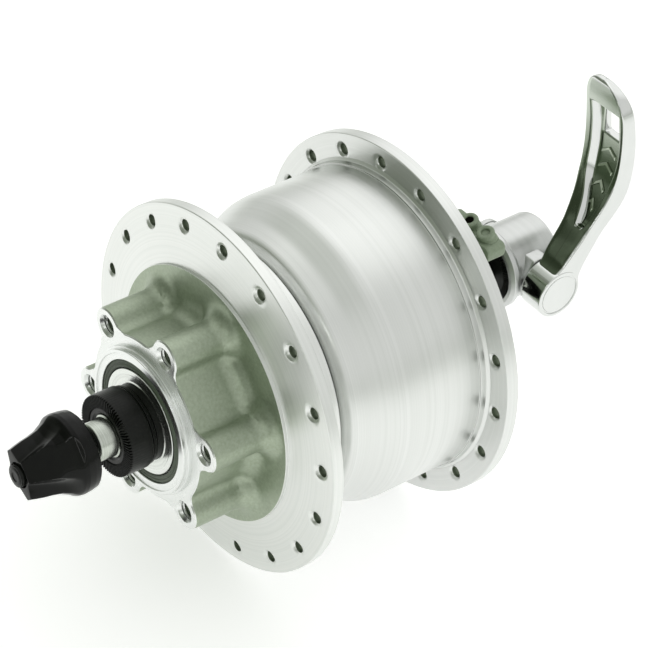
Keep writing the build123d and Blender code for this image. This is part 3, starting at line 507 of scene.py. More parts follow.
# Rows from the column's foot out over the disc, whose rise is a fillet's round and follows every lobe
def filletRows(outline, rows=12):
    size, shape = columnSize, np.array(outline)
    foot = []
    for row in range(rows + 1):
        share = (row / rows) ** 1.6
        line = []
        for x, z in outline:
            far = size["reach"] / math.hypot(x, z)
            px, pz = x + (x * far - x) * share, z + (z * far - z) * share
            away = float(np.min(np.hypot(shape[:, 0] - px, shape[:, 1] - pz)))
            inside = max(size["foot"] - away, 0.0)
            rise = size["foot"] - math.sqrt(max(size["foot"] ** 2 - inside ** 2, 0.0))
            line.append((px, size["disc"] + rise + 0.002, pz))
        foot.append(line)
    return foot


# A bolt hole with the ridges of its thread
def boltHole(centre, sides=32):
    size = columnSize
    top, bore = size["top"], size["boltBore"]
    steps = [(top, size["boltMouth"]), (top - 0.65, bore + 0.05)]
    along = top - size["threadTop"]
    while along > top - size["threadEnd"]:
        root = bore + size["threadDepth"]
        steps += [(along, bore), (along - 0.3, root), (along - 0.5, root)]
        along -= size["threadPitch"]
    steps += [(along, bore), (size["boltDeep"], bore), (size["boltDeep"] - 0.8, 0.05)]
    return stack([[(x, along, z) for x, z in circleLoop(centre, r, sides)] for along, r in steps])


def castColumn():
    size = columnSize
    top, edge, pilot, pilotTop = size["top"], size["edge"], size["pilot"], size["pilotTop"]
    outline, inset = lobedOutline(), lobedOutline(-edge)
    levels = (top - edge, top - edge - 0.3, 36.0, 33.0, 30.0, size["disc"] + size["foot"] + 0.5)
    wall = [[(x, top, z) for x, z in inset]] + [[(x, along, z) for x, z in outline] for along in levels]
    wallPart = stack(wall + filletRows(outline))
    holes = [polar(size["circle"], math.radians(size["phase"] + 60 * k)) for k in range(size["bosses"])]
    loops = [inset, circleLoop((0, 0), pilot, 144)]
    loops += [circleLoop(hole, size["boltMouth"], 32) for hole in holes]
    x0, y0 = np.array(outline).T
    x1, y1 = np.roll(x0, -1), np.roll(y0, -1)

    def inside(p):
        inHole = any((p - Vector(hole)).length < size["boltMouth"] - 0.01 for hole in holes)
        if inHole or p.length < pilot - 0.001:
            return False
        x, y = p.x, p.y
        crosses = ((y0 > y) != (y1 > y)) & (x < (x1 - x0) * (y - y0) / np.where(y1 == y0, 1e-9, y1 - y0) + x0)
        return bool(np.count_nonzero(crosses) % 2)

    topPart = flatFace(loops, inside, top)
    middle = eased([
        (top, pilot), (top + 0.95, pilot, 0.15), (top + 0.95, size["pilotStep"], 0.06),
        (pilotTop, size["pilotStep"], 0.2), (pilotTop, 16.3, 0.1), (pilotTop - 0.35, 16.1, 0.1),
        (pilotTop - 0.35, size["sealBore"], 0.18), (size["sealSeat"], size["sealBore"], 0.15),
        (size["sealSeat"], size["cupBore"], 0.2), (size["cupFloor"], size["cupBore"], 0.2),
        (size["cupFloor"], size["nose"], 0.3), (28.2, size["nose"], 0.4), (24.12, 17.0, 0.3), (24.1, 18.0)],
        steps=3)
    middlePart = lathe(middle, 144, closed=False)
    boltPart = joined(*(boltHole(hole) for hole in holes))
    # the rim, the face and the pilot ring are machined, and the bolt holes are bright only at their mouths,
    # with painted shade deeper in
    rim = len(outline)
    kinds = [1] * rim + [0] * (len(wallPart[1]) - rim) + [1] * len(topPart[1])
    kinds += [int(faceMiddle(middlePart[0], face)[0] > size["cupFloor"] - 0.3) for face in middlePart[1]]
    kinds += [1 if faceMiddle(boltPart[0], face)[0] > top - size["boltBright"] else 2 for face in boltPart[1]]
    makePiece("castColumn", joined(wallPart, topPart, middlePart, boltPart),
              "blastedCasting machinedFace boreShade", "shell", ["disc_mount"],
              sharp=30, kinds=kinds, merge=0.004)


castColumn()
print("column made")


# Near end: seal, dust washer, cone, spacer, toothed locknut and the axle's ends.

teeth = dict(
    count=84, depth=0.6, form=(0.0, 0.0, 0.0, 0.5, 1.0, 1.0, 1.0, 0.5), rows=5, knurls=96, knurlDepth=0.3,
    knurlForm=(0.0, 0.5, 1.0, 0.5), knurlLead=0.2)


# A ring whose face carries radial teeth, joined to a chain of (along, radius) inside and one outside
def toothedFace(insideChain, outsideChain, face, outward, innerRadius, outerRadius):
    form, rows, depth = teeth["form"], teeth["rows"], teeth["depth"]
    count = teeth["count"] * len(form)
    lines = [ringOf(along, radius, count) for along, radius in reversed(insideChain)]
    for row in range(rows + 1):
        radius = innerRadius + (outerRadius - innerRadius) * row / rows
        lines.append([
            aroundAxle(radius, 2 * math.pi * k / count, face - outward * (depth * form[k % len(form)]))
            for k in range(count)])
    return stack(lines + [ringOf(along, radius, count) for along, radius in outsideChain])


# Fine grooves along the rim, for the fingers
def knurledBand(start, end, radius):
    depth, form = teeth["knurlDepth"], teeth["knurlForm"]
    count = teeth["knurls"] * len(form)
    lead = math.copysign(teeth["knurlLead"], end - start)
    return stack([[aroundAxle(radius - fall - depth * form[k % len(form)], 2 * math.pi * k / count, along)
                   for k in range(count)]
                  for along, fall in ((start, depth), (start + lead, 0.0), (end - lead, 0.0), (end, depth))])


# A black round locknut, toothed where it grips the fork
def locknut(name, side, inner, node, knurled=False):
    face, bore, radius = 50.0 * side, 5.02, 9.6
    insideChain = [(face - side * 0.45, 6.55), (face - side * 0.25, 6.5), (face - side * 0.25, 5.75),
                   (face - side * 0.7, bore), (inner, bore)]
    outsideChain = eased([(face - side * 0.55, radius - 0.02), (inner + side * 0.5, radius, 0.2),
                          (inner, radius - 0.5, 0.1), (inner, bore)], steps=3)
    shape = toothedFace(insideChain, outsideChain, face, side, 6.7, radius - 0.1)
    if knurled:
        shape = joined(shape, knurledBand(inner + side * 0.5, face - side * 0.8, radius + 0.02))
    makePiece(name, shape, "blackSteel", "axle", [node], sharp=28, merge=0.002)


locknut("nearLocknut", 1, 43.6, "left_locknut")
locknut("farLocknut", -1, -47.2, "right_locknut", knurled=True)

# the seal's lip leans on the dust washer's rim
turnedPiece("nearSeal", [
    (39.02, 12.78, 0.1), (39.02, 14.58, 0.1), (40.7, 14.58, 0.25), (41.0, 13.9, 0.25), (40.75, 13.55, 0.15),
    (41.1, 13.1, 0.2), (40.9, 12.72, 0.12)], "sealRubber", "shell", ["left_seal"], 144)
turnedPiece("dustWasher", [
    (40.5, 8.92, 0.05), (40.5, 12.45, 0.1), (41.1, 12.45, 0.2), (41.1, 11.3, 0.1), (40.95, 11.0, 0.1),
    (40.95, 9.6, 0.1), (41.1, 9.3, 0.1), (41.1, 8.92, 0.08)], "coverSteel", "axle",
    ["left_dust_cover"], 144)
turnedPiece("nearSpacer", [
    (42.42, 5.02, 0.1), (42.42, 8.8, 0.1), (42.9, 9.3, 0.12), (43.6, 9.3, 0.12), (43.6, 5.02, 0.1)],
    "blackSteel", "axle", ["left_spacer"])
turnedPiece("farSpacer", [
    (-43.2, 5.02, 0.1), (-43.2, 9.3, 0.12), (-42.75, 9.3, 0.12), (-42.42, 8.8, 0.1), (-42.42, 5.02, 0.1)],
    "blackSteel", "axle", ["right_spacer"])


# The hollow axle, with a thread cut where the cones and nuts sit and plain bright ends
def hubAxle():
    root, crest = 4.62, 4.98
    end = [(50.2, root), (50.6, 4.5), (53.75, 4.5), (53.95, 4.42), (54.35, 3.95), (54.5, 3.7), (54.5, 2.8)]
    rows = [(-along, radius) for along, radius in reversed(end)]
    for turn in range(100):
        along = turn - 50.0
        rows += [(along, root), (along + 0.4, crest), (along + 0.6, crest)]
    makePiece("hubAxle", lathe(rows + [(49.8, root)] + end, 96), "axleSteel", "axle", ["axle"],
              sharp=28, merge=0.002)


hubAxle()
print("near end made")


# Plug socket on the axle at the lever side: collar, arm, block and two nubs for the lamp wires.

socketSize = dict(
    collarTop=-43.2, collarEnd=-47.2, collar=8.8, collarEdge=0.35, bore=5.02, armLow=-8.3, armHigh=1.7,
    armTop=17.5, blockLow=(-15.1, 16.9), blockHigh=(1.9, 20.9), blockNear=-43.6, blockFar=-49.0, corner=1.5,
    edge=0.45, outerNub=-11.15, innerNub=-5.45, nubAlong=-46.5, lean=20.0, nub=2.2, nubBore=1.05,
    nubHeight=2.3, nubFoot=-1.6, blindFloor=1.7, nubSides=48)


# A rounded rectangle's outline in (x, z), walked anticlockwise
def roundedBox(low, high, corner, steps=6):
    left, right, foot, top = low[0] + corner, high[0] - corner, low[1] + corner, high[1] - corner
    outline = []
    for quarter, (x, z) in enumerate(((right, top), (left, top), (left, foot), (right, foot))):
        for step in range(steps + 1):
            across, up = polar(corner, math.radians(90 * quarter + 90 * step / steps))
            outline.append((x + across, z + up))
    return outline


# An outline moved inwards by an even step
def shrunk(outline, inset):
    moved = []
    for k, (x, z) in enumerate(outline):
        run = (Vector(outline[(k + 1) % len(outline)]) - Vector(outline[k - 1])).normalized()
        moved.append((x - run.y * inset, z + run.x * inset))
    return moved


# Rows of points for a slab across the axle whose two rims are rounded
def slabRows(outline, near, far, edge):
    steps = [(0.0, 1.0), (0.3, 0.3), (1.0, 0.0), (2.0, 0.0)]
    places = [(near - deep * edge, inset * edge) for deep, inset in steps]
    places += [(far + deep * edge, inset * edge) for deep, inset in reversed(steps)]
    return [[(x, along, z) for x, z in shrunk(outline, inset)] for along, inset in places]


# The outline of a set of (x, z) points, anticlockwise
def hullOf(points):
    ordered = sorted(set(points))

    def halfOf(items):
        kept = []
        for p in items:
            while len(kept) > 1 and ((kept[-1][0] - kept[-2][0]) * (p[1] - kept[-2][1])
                                     - (kept[-1][1] - kept[-2][1]) * (p[0] - kept[-2][0])) <= 0:
                kept.pop()
            kept.append(p)
        return kept[:-1]

    return halfOf(ordered) + halfOf(list(reversed(ordered)))


# A leaning nub with a bore for a wire, which is deep or ends at a blind floor
def wireNub(x, blind):
    size = socketSize
    foot, height, radius, bore = size["nubFoot"], size["nubHeight"], size["nub"], size["nubBore"]
    profile = eased([(foot, radius + 0.5), (0.15, radius + 0.12, 0.5), (0.5, radius - 0.15, 0.3),
                     (height, radius, 0.75), (height, bore, 0.3), (foot, bore)], steps=5)[:-1]
    lean = Matrix.Rotation(math.radians(-size["lean"]), 3, "X")
    rows = []
    for up, out in profile + [(foot, bore), (foot, 0.02)]:
        up = max(up, size["blindFloor"]) if blind and out <= bore else up
        ring = [lean @ Vector((*p, up)) for p in circleLoop((0, 0), out, size["nubSides"])]
        rows.append([(x + p.x, size["nubAlong"] + p.y, size["blockHigh"][1] + p.z) for p in ring])
    return stack(rows)


def plugSocket():
    size = socketSize
    near, far = size["collarTop"], size["collarEnd"]
    # the collar and its arm are one outline, a ring drawn out to the block
    collar = [polar(size["collar"], math.radians(a)) for a in range(0, 360, 4)]
    arm = [(size["armLow"], size["armTop"]), (size["armHigh"], size["armTop"])]
    rows = slabRows(hullOf(collar + arm), near, far, size["collarEdge"])
    bore = circleLoop((0, 0), size["bore"], 64)
    parts = [stack(rows)]
    for row in (rows[0], rows[-1]):
        loops = [[(x, z) for x, _, z in row], bore]
        parts.append(flatFace(loops, lambda p: p.length > size["bore"], row[0][1]))
    parts.append(stack([[(x, along, z) for x, z in bore] for along in (near, far)]))
    block = roundedBox(size["blockLow"], size["blockHigh"], size["corner"])
    points, faces = stack(slabRows(block, size["blockNear"], size["blockFar"], size["edge"]))
    ends = [tuple(range(len(block))), tuple(range(len(points) - len(block), len(points)))]
    parts += [(points, faces + ends), wireNub(size["outerNub"], True), wireNub(size["innerNub"], False)]
    points, faces = joined(*parts)
    # the inner nub's bore is dark
    dark = 2 * size["nubSides"]
    makePiece("plugSocket", (points, faces), "socketGrey blackSteel", "axle",
              ["connector_body"], sharp=34, kinds=[0] * (len(faces) - dark) + [1] * dark)


# The rod's threaded end stands out of the adjusting nut, blackened, with a centre drilled in it
def rodTip():
    thread = [(70.4, 2.0)]
    for start in (70.6, 71.4, 72.2):
        thread += [(start, 2.3), (start + 0.35, 2.58), (start + 0.45, 2.58)]
    thread += [(73.0, 2.45), (73.3, 2.15), (73.42, 1.6), (73.35, 1.15), (72.9, 0.75), (72.4, 0.02),
               (70.4, 0.02)]
    makePiece("rodTip", lathe(thread, 64), "blackSteel", "skewer", sharp=34, merge=0.002)


plugSocket()
# the cover that closes the drum on the lever side: machined rim, dished web and a hub round the bearing, in
# the darker casting tint that is painted shade
turnedPiece("endCover", [
    (-27.1, 32.4, 0.2), (-27.1, 34.55, 0.2), (-30.1, 34.55, 0.35), (-30.35, 33.6, 0.2), (-30.9, 32.9, 0.5),
    (-33.0, 28.0, 1.0), (-34.4, 24.4, 0.8), (-35.2, 23.2, 0.8), (-38.8, 19.0, 1.2), (-40.55, 15.2, 0.5),
    (-40.6, 14.6, 0.3), (-40.6, 12.45, 0.2), (-31.2, 12.45, 0.2), (-31.2, 9.15, 0.3), (-29.0, 9.15, 0.3),
    (-29.6, 12.0, 0.5), (-32.2, 22.0, 1.5), (-29.2, 31.2, 0.8)],
    "coverCastingPaintedShade", "shell", ["end_cover"], 192)
rodTip()
print("socket, cover and rod tip made")


# Quick release, cam end: the housing cup and its toothed insert.

turnedPiece("camHousing", [
    (-58.0, 8.22, 0.08), (-58.0, 9.15, 0.12), (-58.75, 10.08, 0.25), (-60.05, 10.08, 0.3),
    (-60.55, 9.45, 0.2), (-61.0, 9.12, 0.3), (-73.6, 9.12, 0.85), (-73.6, 2.2, 0.2), (-73.2, 1.2, 0.15),
    (-73.2, 0.02), (-72.4, 0.02), (-72.4, 6.4, 0.3), (-59.4, 6.45, 0.1), (-59.4, 8.22, 0.08)],
    "satinHousing", "cam_end", ["cam_housing"], 192)


# The steel insert that bites the fork, standing 0.3 mm out of the housing
def gripInsert():
    face, floor = -57.7, -59.3
    insideChain = [(face - 0.45, 6.5), (face - 0.3, 6.4), (face - 0.3, 2.9), (floor, 2.82)]
    outsideChain = [(face - 0.56, 8.17), (face - 0.8, 8.18), (floor, 8.18), (floor, 2.82)]
    shape = toothedFace(insideChain, outsideChain, face, 1, 6.7, 8.12)
    makePiece("gripInsert", shape, "blackSteel", "cam_end", ["grip_ring"], sharp=28,
              merge=0.002)


gripInsert()
print("cam end made")


# Adjusting nut: a dome cut back by two sloping flats and four flutes, which leave two fins.
# Its outlines are (place along the nut, size) pairs.

nutSize = dict(
    base=56.9, length=15.3, phase=46.7, columns=360, rows=120, bore=2.62, socket=7.32, socketDeep=3.6,
    least=2.9, ease=0.22)
nutOutlines = dict(
    dome=[(0.0, 8.75), (0.35, 9.15), (1.8, 9.42), (3.4, 9.55), (4.4, 9.35), (5.1, 8.95), (6.0, 8.35),
          (7.9, 7.45), (10.0, 6.95), (12.1, 6.62), (14.0, 6.2), (15.3, 5.85)],
    flat=[(0.0, 12.0), (4.2, 8.75), (5.0, 8.3), (15.3, 3.2)],
    flatHalf=[(0.0, 5.2), (5.0, 5.0), (15.3, 2.3)],
    finHalf=[(0.0, 1.5), (5.0, 1.35), (15.3, 0.9)],
    valley=[(0.0, 12.0), (4.2, 9.7), (5.2, 8.4), (6.4, 7.3), (8.0, 6.25), (10.0, 5.4), (12.0, 4.75),
            (15.3, 3.85)])


# The nut's radius at a place along it and an angle from its fin
def nutRadius(place, turn):
    dome, flat, flatHalf, finHalf, valley = (
        float(np.interp(place, *zip(*outline))) for outline in nutOutlines.values())
    fold = abs((turn + math.pi / 2) % math.pi - math.pi / 2)
    corner, finEdge = math.atan2(flat, flatHalf), math.atan2(finHalf, dome)
    if fold >= corner:
        cut = flat / math.sin(fold)
    elif fold <= finEdge:
        cut = dome / math.cos(fold)
    else:
        share = (fold - finEdge) / (corner - finEdge)
        first, last = dome / math.cos(finEdge), flat / math.sin(corner)
        middle = min(valley, 0.5 * (first + last) - 0.1)
        cut = (first * (1 - share) * (1 - 2 * share) + 4 * middle * share * (1 - share)
               + last * share * (2 * share - 1))
    # the lesser of dome and cut, with the corner between them eased
    cut = max(cut, nutSize["least"])
    near = max(nutSize["ease"] - abs(dome - cut), 0.0) / nutSize["ease"]
    return min(dome, cut) - near * near * nutSize["ease"] / 4


def adjustingNut():
    size = nutSize
    base, columns, rows = size["base"], size["columns"], size["rows"]
    floor, end = base + size["socketDeep"], base + size["length"]
    lines = [ringOf(floor, size["bore"], columns), ringOf(floor, size["socket"], columns),
             ringOf(base, size["socket"], columns), ringOf(base, 8.4, columns)]
    for row in range(rows + 1):
        place = size["length"] * row / rows
        turns = [2 * math.pi * k / columns for k in range(columns)]
        lines.append([aroundAxle(nutRadius(place, turn - math.radians(size["phase"])), turn, base + place)
                      for turn in turns])
    rim = lines[-1]
    for inset, rise in ((0.12, 0.04), (0.3, 0.06)):
        shares = [1 - inset / math.hypot(x, z) for x, _, z in rim]
        lines.append([(x * share, end + rise, z * share) for (x, _, z), share in zip(rim, shares)])
    lines += [ringOf(end + 0.06, 3.05, columns), ringOf(end - 0.5, 2.75, columns)]
    makePiece("adjustingNut", stack(lines), "glossBlackNut", "nut_end", ["adjusting_nut"],
              sharp=26)


adjustingNut()
print("adjusting nut made")


# Lever: a bowed chrome blade with a pocket and a window, on a short boss beside the housing.
# Lines are (z, y) pairs for inner and outer and (z, x) pairs for the rest, read from the tip down,
# and across pairs each height of the inner face with the height of the outer face behind it.

leverSize = dict(
    pivot=-66.1, floorDepth=2.0, edge=0.5, rim=0.9, slant=1.9, windowNear=-14.7, windowFar=-8.9,
    windowTop=43.0, windowFoot=35.6, pocketTop=44.0, pocketFoot=15.2, tip=50.3, shoulder=50.0)
leverSeen = dict(
    inner=[(50.4, -79.95), (50.0, -79.7), (46.9, -79.3), (42.4, -79.5), (37.3, -79.95), (31.6, -80.25),
           (27.5, -79.9), (24.8, -79.2), (20.8, -77.0), (16.7, -73.9), (13.9, -71.9), (10.9, -69.4),
           (8.9, -67.8), (7.3, -66.3), (6.1, -64.6), (5.0, -62.6)],
    outer=[(50.1, -81.9), (49.6, -82.2), (46.6, -82.9), (40.7, -83.87), (35.5, -84.76), (29.6, -85.2),
           (23.4, -84.7), (19.4, -83.08), (16.1, -80.47), (13.2, -77.9), (9.4, -75.6), (5.4, -73.3),
           (2.5, -72.3), (0.0, -72.2), (-1.5, -72.0)],
    across=[(50.4, 50.0), (50.0, 49.6), (46.9, 46.6), (37.3, 37.3), (31.6, 30.8), (27.5, 25.5), (24.8, 21.5),
            (20.8, 16.8), (16.7, 13.4), (13.9, 11.0), (10.9, 7.5), (8.9, 4.6), (7.3, 2.2), (6.1, 0.6),
            (5.0, -1.4)],
    near=[(50.4, -9.0), (50.0, -10.4), (49.4, -12.0), (48.5, -13.6), (47.3, -15.0), (45.8, -16.1),
          (44.0, -16.8), (42.0, -17.15), (39.5, -17.3), (36.0, -17.35), (30.0, -17.3), (22.0, -17.2),
          (5.0, -17.05)],
    far=[(50.4, -6.4), (50.0, -5.3), (49.4, -4.5), (48.6, -4.0), (47.6, -3.75), (46.5, -3.65), (45.0, -3.7),
         (42.0, -4.0), (36.0, -4.2), (29.5, -4.4), (24.7, -4.95), (21.0, -6.35), (17.0, -7.85), (13.7, -8.65),
         (10.0, -9.1), (8.0, -9.4), (6.5, -10.2), (5.0, -10.6)],
    pocketNear=[(44.0, -15.3), (37.0, -15.9), (31.0, -15.9), (25.0, -15.4), (20.0, -15.4), (16.0, -15.2),
                (14.8, -14.9)],
    pocketFar=[(44.0, -5.7), (39.5, -6.3), (33.8, -6.4), (25.7, -6.8), (20.0, -10.1), (16.0, -12.0),
               (14.8, -12.6)])
leverHeights = [
    50.4, 50.2, 49.8, 49.2, 48.4, 47.5, 46.5, 45.3, 44.6, 44.2, 43.95, 43.6, 43.2, 43.0, 42.7, 41.0, 39.0,
    37.2, 36.0, 35.6, 35.3, 34.0, 32.0, 30.0, 28.0, 26.6, 25.4, 24.0, 22.5, 21.0, 19.5, 18.0, 16.9, 16.2,
    15.7, 15.2, 14.8, 14.2, 13.2, 12.0, 11.0, 9.9, 8.9, 8.1, 7.4, 6.7, 6.1, 5.5, 5.0]
leverLines = {}
for lineName, seenPoints in leverSeen.items():
    dense = np.array(curveThrough(seenPoints, 12))
    leverLines[lineName] = dense[np.argsort(dense[:, 0])].T


def lineAt(name, height):
    return float(np.interp(height, *leverLines[name]))


# The closed section of the blade at one height of its inner face: 13 points on the outer face, one on the
# far edge, 13 on the inner face, where the middle ones sink into the pocket, and one on the near edge
def leverRow(height):
    size = leverSize
    edge, rim = size["edge"], size["rim"]
    inner = Vector((lineAt("inner", height), height))
    behind = lineAt("across", height)
    outer = Vector((lineAt("outer", behind), behind))
    through, thick = (outer - inner).normalized(), (outer - inner).length
    near, far = lineAt("near", height), lineAt("far", height)
    middle = (near + far) / 2
    pocketNear = max(lineAt("pocketNear", height), near + rim)
    pocketFar = min(lineAt("pocketFar", height), far - rim)
    if height < size["pocketFoot"] - 0.5:
        pocketNear, pocketFar = max(pocketNear, middle - 1.4), min(max(pocketFar, middle + 1.0), far - rim)
    width = pocketFar - pocketNear
    windowNear, windowFar = size["windowNear"], min(size["windowFar"], pocketFar - rim)
    if width < 5:
        windowNear = max(windowNear, pocketNear + 0.32 * width)
        windowFar = min(size["windowFar"], pocketFar - 0.32 * width)
    deep = size["floorDepth"] if size["pocketFoot"] < height < size["pocketTop"] - 0.1 else 0.0
    if height < size["pocketFoot"] + 1.2:
        deep *= 0.75
    narrow, thin = (0.8, 0.5) if height > size["tip"] else (1.0, 1.0 if height < size["shoulder"] else 0.82)
    across = [near, near + 0.35, pocketNear - 0.2, pocketNear, pocketNear + 0.3, windowNear,
              (windowNear + windowFar) / 2, windowFar, pocketFar - min(size["slant"], 0.5 * width), pocketFar,
              pocketFar + 0.2, far - 0.35, far]
    across = [middle + (x - middle) * narrow for x in across]
    low, high = across[0], across[-1]
    across = [min(max(x, low + 0.02 * k), high - 0.02 * (12 - k)) for k, x in enumerate(across)]
    inset, half = thick * (1 - thin) / 2, (inner + outer) / 2
    front, back = [], []
    for k, x in enumerate(across):
        share = (x - near) / max(far - near, 0.1) * 2 - 1
        atEdge = edge if k in (0, 12) else 0.0
        place = outer - through * (inset + 0.15 * share * share + 0.7 * atEdge)
        back.append((x, place.x, place.y))
        sink = max(inset + atEdge, deep if 4 <= k <= 8 else 0.0)
        place = inner + through * min(sink, thick * 0.6)
        front.append((x, place.x, place.y))
    return [*back, (high, half.x, half.y), *reversed(front), (low, half.x, half.y)]


def leverBlade():
    size = leverSize
    rows = [leverRow(height) for height in leverHeights]
    points, skin = stack(rows)
    count = len(rows[0])
    first, last = leverHeights.index(size["windowTop"]), leverHeights.index(size["windowFoot"])
    faces, kinds = [], []
    for index, face in enumerate(skin):
        row, k = divmod(index, count)
        if first <= row < last and k in (5, 6, 19, 20):
            continue  # the window
        # the inner face wears the painted reflection, dark at the foot, while its rims and the pocket's walls
        # stay bright
        wall = k in (17, 22) and size["pocketFoot"] - 0.3 < leverHeights[row] <= size["pocketTop"]
        faces.append(face)
        kinds.append(int(14 <= k < 25 and not wall and row > 2))

    # point k of the outer face lies behind point 26 - k
    def strip(row, k):
        return tuple(row * count + v for v in (k, k + 1, 25 - k, 26 - k))

    for row in range(first, last):
        faces += [(row * count + k, (row + 1) * count + k, (row + 1) * count + 26 - k, row * count + 26 - k)
                  for k in (5, 7)]
    faces += [strip(row, k) for row in (first, last) for k in (5, 6)]
    # the tip's end and the root's end, which the boss swallows, are strips between the two sides
    for row in (0, len(rows) - 1):
        faces += [strip(row, k) for k in range(12)]
        faces += [tuple(row * count + v for v in corner) for corner in ((12, 13, 14), (0, 26, 27))]
    kinds += [0] * (len(faces) - len(kinds))
    piece = makePiece("leverBlade", (points, faces), "leverChrome leverInner", "lever",
                      ["lever"], sharp=180, kinds=kinds)
    smooth = piece.modifiers.new("smooth", "SUBSURF")
    smooth.levels = smooth.render_levels = 2


# each chevron's step aside and its share of the full width
chevronSize = dict(
    first=18.5, pitch=3.9, rise=1.5, stroke=0.85, proud=0.28, bevel=0.12, middle=-11.9, half=2.3, steps=6,
    each=[(0.0, 0.62), (0.45, 0.85), (0.55, 1.0), (0.55, 1.0)])


# Four raised chevrons on the pocket's floor, which point to the tip
def leverMarks():
    size = chevronSize
    steps, proud, bevel = size["steps"], size["proud"], size["bevel"]
    parts = []
    for index, (aside, share) in enumerate(size["each"]):
        centre, half = size["middle"] + aside, size["half"] * share
        foot = size["first"] + size["pitch"] * index
        arm = [(centre + half * k / steps, foot + size["rise"] * (1 - abs(k / steps)))
               for k in range(-steps, steps + 1)]
        rim = [(x, z, 1) for x, z in arm] + [(x, z + size["stroke"], -1) for x, z in reversed(arm)]
        rows = []
        for inset, lift in ((0.0, -0.3), (0.0, proud - 0.1), (bevel, proud)):
            row = []
            for x, z, side in rim:
                z += side * inset
                floor = Vector((lineAt("inner", z), z))
                run = Vector((lineAt("inner", z + 0.2), z + 0.2)) - floor
                place = floor - Vector((run.y, -run.x)).normalized() * (leverSize["floorDepth"] - 0.12 - lift)
                row.append((centre + (x - centre) * (1 - inset / half), place.x, place.y))
            rows.append(row)
        points, faces = stack(rows)
        top, end = 2 * len(rim), 3 * len(rim) - 1
        faces += [(top + k, top + k + 1, end - 1 - k, end - k) for k in range(len(arm) - 1)]
        parts.append((points, faces))
    makePiece("leverMarks", joined(*parts), "leverMark", "lever", ["lever"], sharp=30)


# The boss is turned about the lever's pivot, from a profile of (x, radius)
def leverBoss():
    profile = eased([
        (-10.4, 4.4, 0.1), (-10.4, 6.2, 0.35), (-17.2, 6.2, 0.7), (-17.2, 5.35, 0.05), (-16.9, 5.25, 0.05),
        (-16.9, 5.0, 0.05), (-17.15, 4.9, 0.1), (-17.2, 0.02), (-16.0, 0.02), (-16.0, 4.4, 0.2)])
    shape = stack([[(x, y, z) for y, z in circleLoop((leverSize["pivot"], 0.0), radius, 96)]
                   for x, radius in profile], closed=True)
    makePiece("leverBoss", shape, "leverChrome", "lever", ["lever"])


padSize = dict(
    start=-6.7, end=-10.15, bore=4.52, lip=0.15, edge=0.3, corner=0.5, ease=(0.0, 0.25, 0.5, 0.75, 1.0),
    outline=[(-63.7, 6.1), (-67.8, 6.1), (-71.0, 2.4), (-71.0, -2.4), (-67.8, -6.1), (-63.7, -6.1),
             (-61.1, -2.2), (-61.1, 1.6)])


# The squared pad on the housing's side that the lever's shaft comes out of
def housingPad():
    size, corners = padSize, [Vector(p) for p in padSize["outline"]]
    start, end, edge, bore = size["start"], size["end"], size["edge"], size["bore"]
    outline = []
    for k, here in enumerate(corners):
        first, last = (here + (other - here).normalized() * size["corner"]
                       for other in (corners[k - 1], corners[(k + 1) % len(corners)]))
        outline += [first * (1 - t) ** 2 + here * 2 * t * (1 - t) + last * t * t for t in size["ease"]]
    middle = Vector((leverSize["pivot"], 0.0))
    steps = [(start, 0.0), (end + 2 * edge, 0.0), (end + edge, 0.0), (end + 0.3 * edge, 0.3 * edge),
             (end, edge)]
    rows = [[(x, *(p + (middle - p).normalized() * inset)) for p in outline] for x, inset in steps]
    aims = [math.atan2(p.y - middle.y, p.x - middle.x) for p in outline]
    for x, radius in ((end, bore + size["lip"]), (end + size["lip"], bore), (start, bore)):
        rows.append([(x, middle.x + radius * math.cos(a), middle.y + radius * math.sin(a)) for a in aims])
    makePiece("housingPad", stack(rows, closed=True), "satinHousing", "cam_end", sharp=34,
              merge=0.002)


leverBlade()
leverMarks()
leverBoss()
housingPad()
print("lever made")


# Studio: a pale floor, a bright surround with darker sides for the metal to mirror, and soft lights.

floorLook = dict(
    half=6.0, height=-0.0443, white=(0.93, 0.93, 0.93), grey=(0.42, 0.45, 0.40), whiteTo=0.30, greyFrom=0.95,
    glow=0.46)
# tints of the sky by height, of a bright screen behind the hub, and of a dark card on its near side
surroundLook = dict(
    heights=[(0.50, (0.60, 0.62, 0.58)), (0.62, (0.86, 0.87, 0.85)), (0.79, (0.84, 0.85, 0.83)),
             (0.92, (0.80, 0.81, 0.79)), (1.0, (0.74, 0.75, 0.73))],
    patches=[("ADD", (0.35, -0.62, 0.70), [(0.73, (0.0, 0.0, 0.0)), (0.89, (0.36, 0.36, 0.36))]),
             ("MULTIPLY", (0.30, 0.90, 0.30), [(0.30, (1.0, 1.0, 1.0)), (0.46, (0.66, 0.69, 0.64)),
                                               (0.70, (0.40, 0.43, 0.375)), (0.85, (0.24, 0.27, 0.215))])])
# name, place, width and height in metres, and power in watts
softLights = [("overheadSoft", (0.10, -0.05, 0.80), 1.0, 0.9, 0.5),
              ("nutStrip", (-0.55, 0.75, 0.62), 0.10, 0.45, 0.5)]


def addToScene(name, data):
    thing = bpy.data.objects.new(name, data)
    bpy.context.scene.collection.objects.link(thing)
    return thing


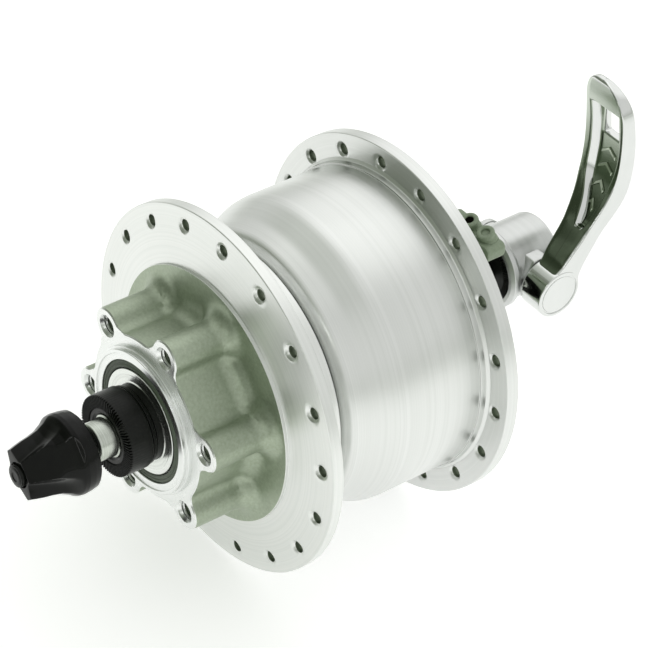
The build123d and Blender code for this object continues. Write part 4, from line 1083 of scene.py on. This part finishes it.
# White round the hub and paler grey far out, which the metal mirrors low down
def paleFloor():
    look = floorLook
    half, depth = look["half"], look["height"]
    data = bpy.data.meshes.new("paleFloor")
    corners = [(-half, -half, depth), (half, -half, depth), (half, half, depth), (-half, half, depth)]
    data.from_pydata(corners, [], [(0, 1, 2, 3)])
    material, tree, shader = newMaterial("floorPaper")
    place = objectPlace(tree)
    length = addNode(tree, "VectorMath", {0: place}, operation="LENGTH")
    mottle = speckle(tree, place, 30.0)
    fall = addNode(tree, "Math", {0: mottle, 1: 0.02, 2: length.outputs["Value"]}, operation="MULTIPLY_ADD")
    tint = ramp(tree, fall.outputs[0], [(look["whiteTo"], look["white"]), (look["greyFrom"], look["grey"])])
    fill(tree, shader, {"Base Color": tint, "Roughness": 0.9, "Specular IOR Level": 0.1,
                        "Emission Color": (1.0, 1.0, 1.0, 1.0),
                        "Emission Strength": spread(tree, mottle, look["glow"] * 0.98, look["glow"])})
    data.materials.append(material)
    floor = addToScene("paleFloor", data)


def surround():
    world = bpy.data.worlds.new("surround")
    bpy.context.scene.world = world
    world.use_nodes = True
    tree = world.node_tree
    place = addNode(tree, "TexCoord", {}).outputs["Generated"]
    split = addNode(tree, "SeparateXYZ", {0: place}).outputs
    sky = ramp(tree, spread(tree, split["Z"], 0.5, 1.0), surroundLook["heights"])
    for blend, side, tints in surroundLook["patches"]:
        sockets = {0: place, 1: Vector(side).normalized()}
        toward = addNode(tree, "VectorMath", sockets, operation="DOT_PRODUCT")
        patch = ramp(tree, toward.outputs["Value"], tints)
        sky = addNode(tree, "Mix", {"Factor": 1.0, "A": sky, "B": patch}, data_type="RGBA",
                      blend_type=blend).outputs["Result"]
    fill(tree, tree.nodes["Background"], {"Color": sky, "Strength": 1.0})


def softLight(name, place, width, height, power):
    data = bpy.data.lights.new(name, "AREA")
    data.shape = "RECTANGLE"
    data.size, data.size_y = width, height
    data.energy = power
    lamp = addToScene(name, data)
    lamp.location = place
    lamp.rotation_mode = "QUATERNION"
    lamp.rotation_quaternion = (-Vector(place)).to_track_quat("-Z", "Y")


# The camera that the photo was fitted to: its axes, its place and its lens
def photoCamera():
    data = bpy.data.cameras.new("photoCamera")
    data.sensor_width = 36.0
    data.lens = 158.89
    data.clip_start, data.clip_end = 0.01, 50.0
    camera = addToScene("photoCamera", data)
    right = Vector((-0.60947, -0.79075, 0.05713))
    up = Vector((0.52327, -0.34708, 0.77829))
    back = Vector((-0.59560, 0.50424, 0.62531))
    turn = Matrix((right, up, back)).transposed()
    camera.matrix_world = Matrix.Translation(Vector((-0.38529, 0.31671, 0.40940))) @ turn.to_4x4()
    bpy.context.scene.camera = camera


bpy.context.scene.view_settings.view_transform = "Standard"
paleFloor()
surround()
for light in softLights:
    softLight(*light)
photoCamera()
print("studio set")
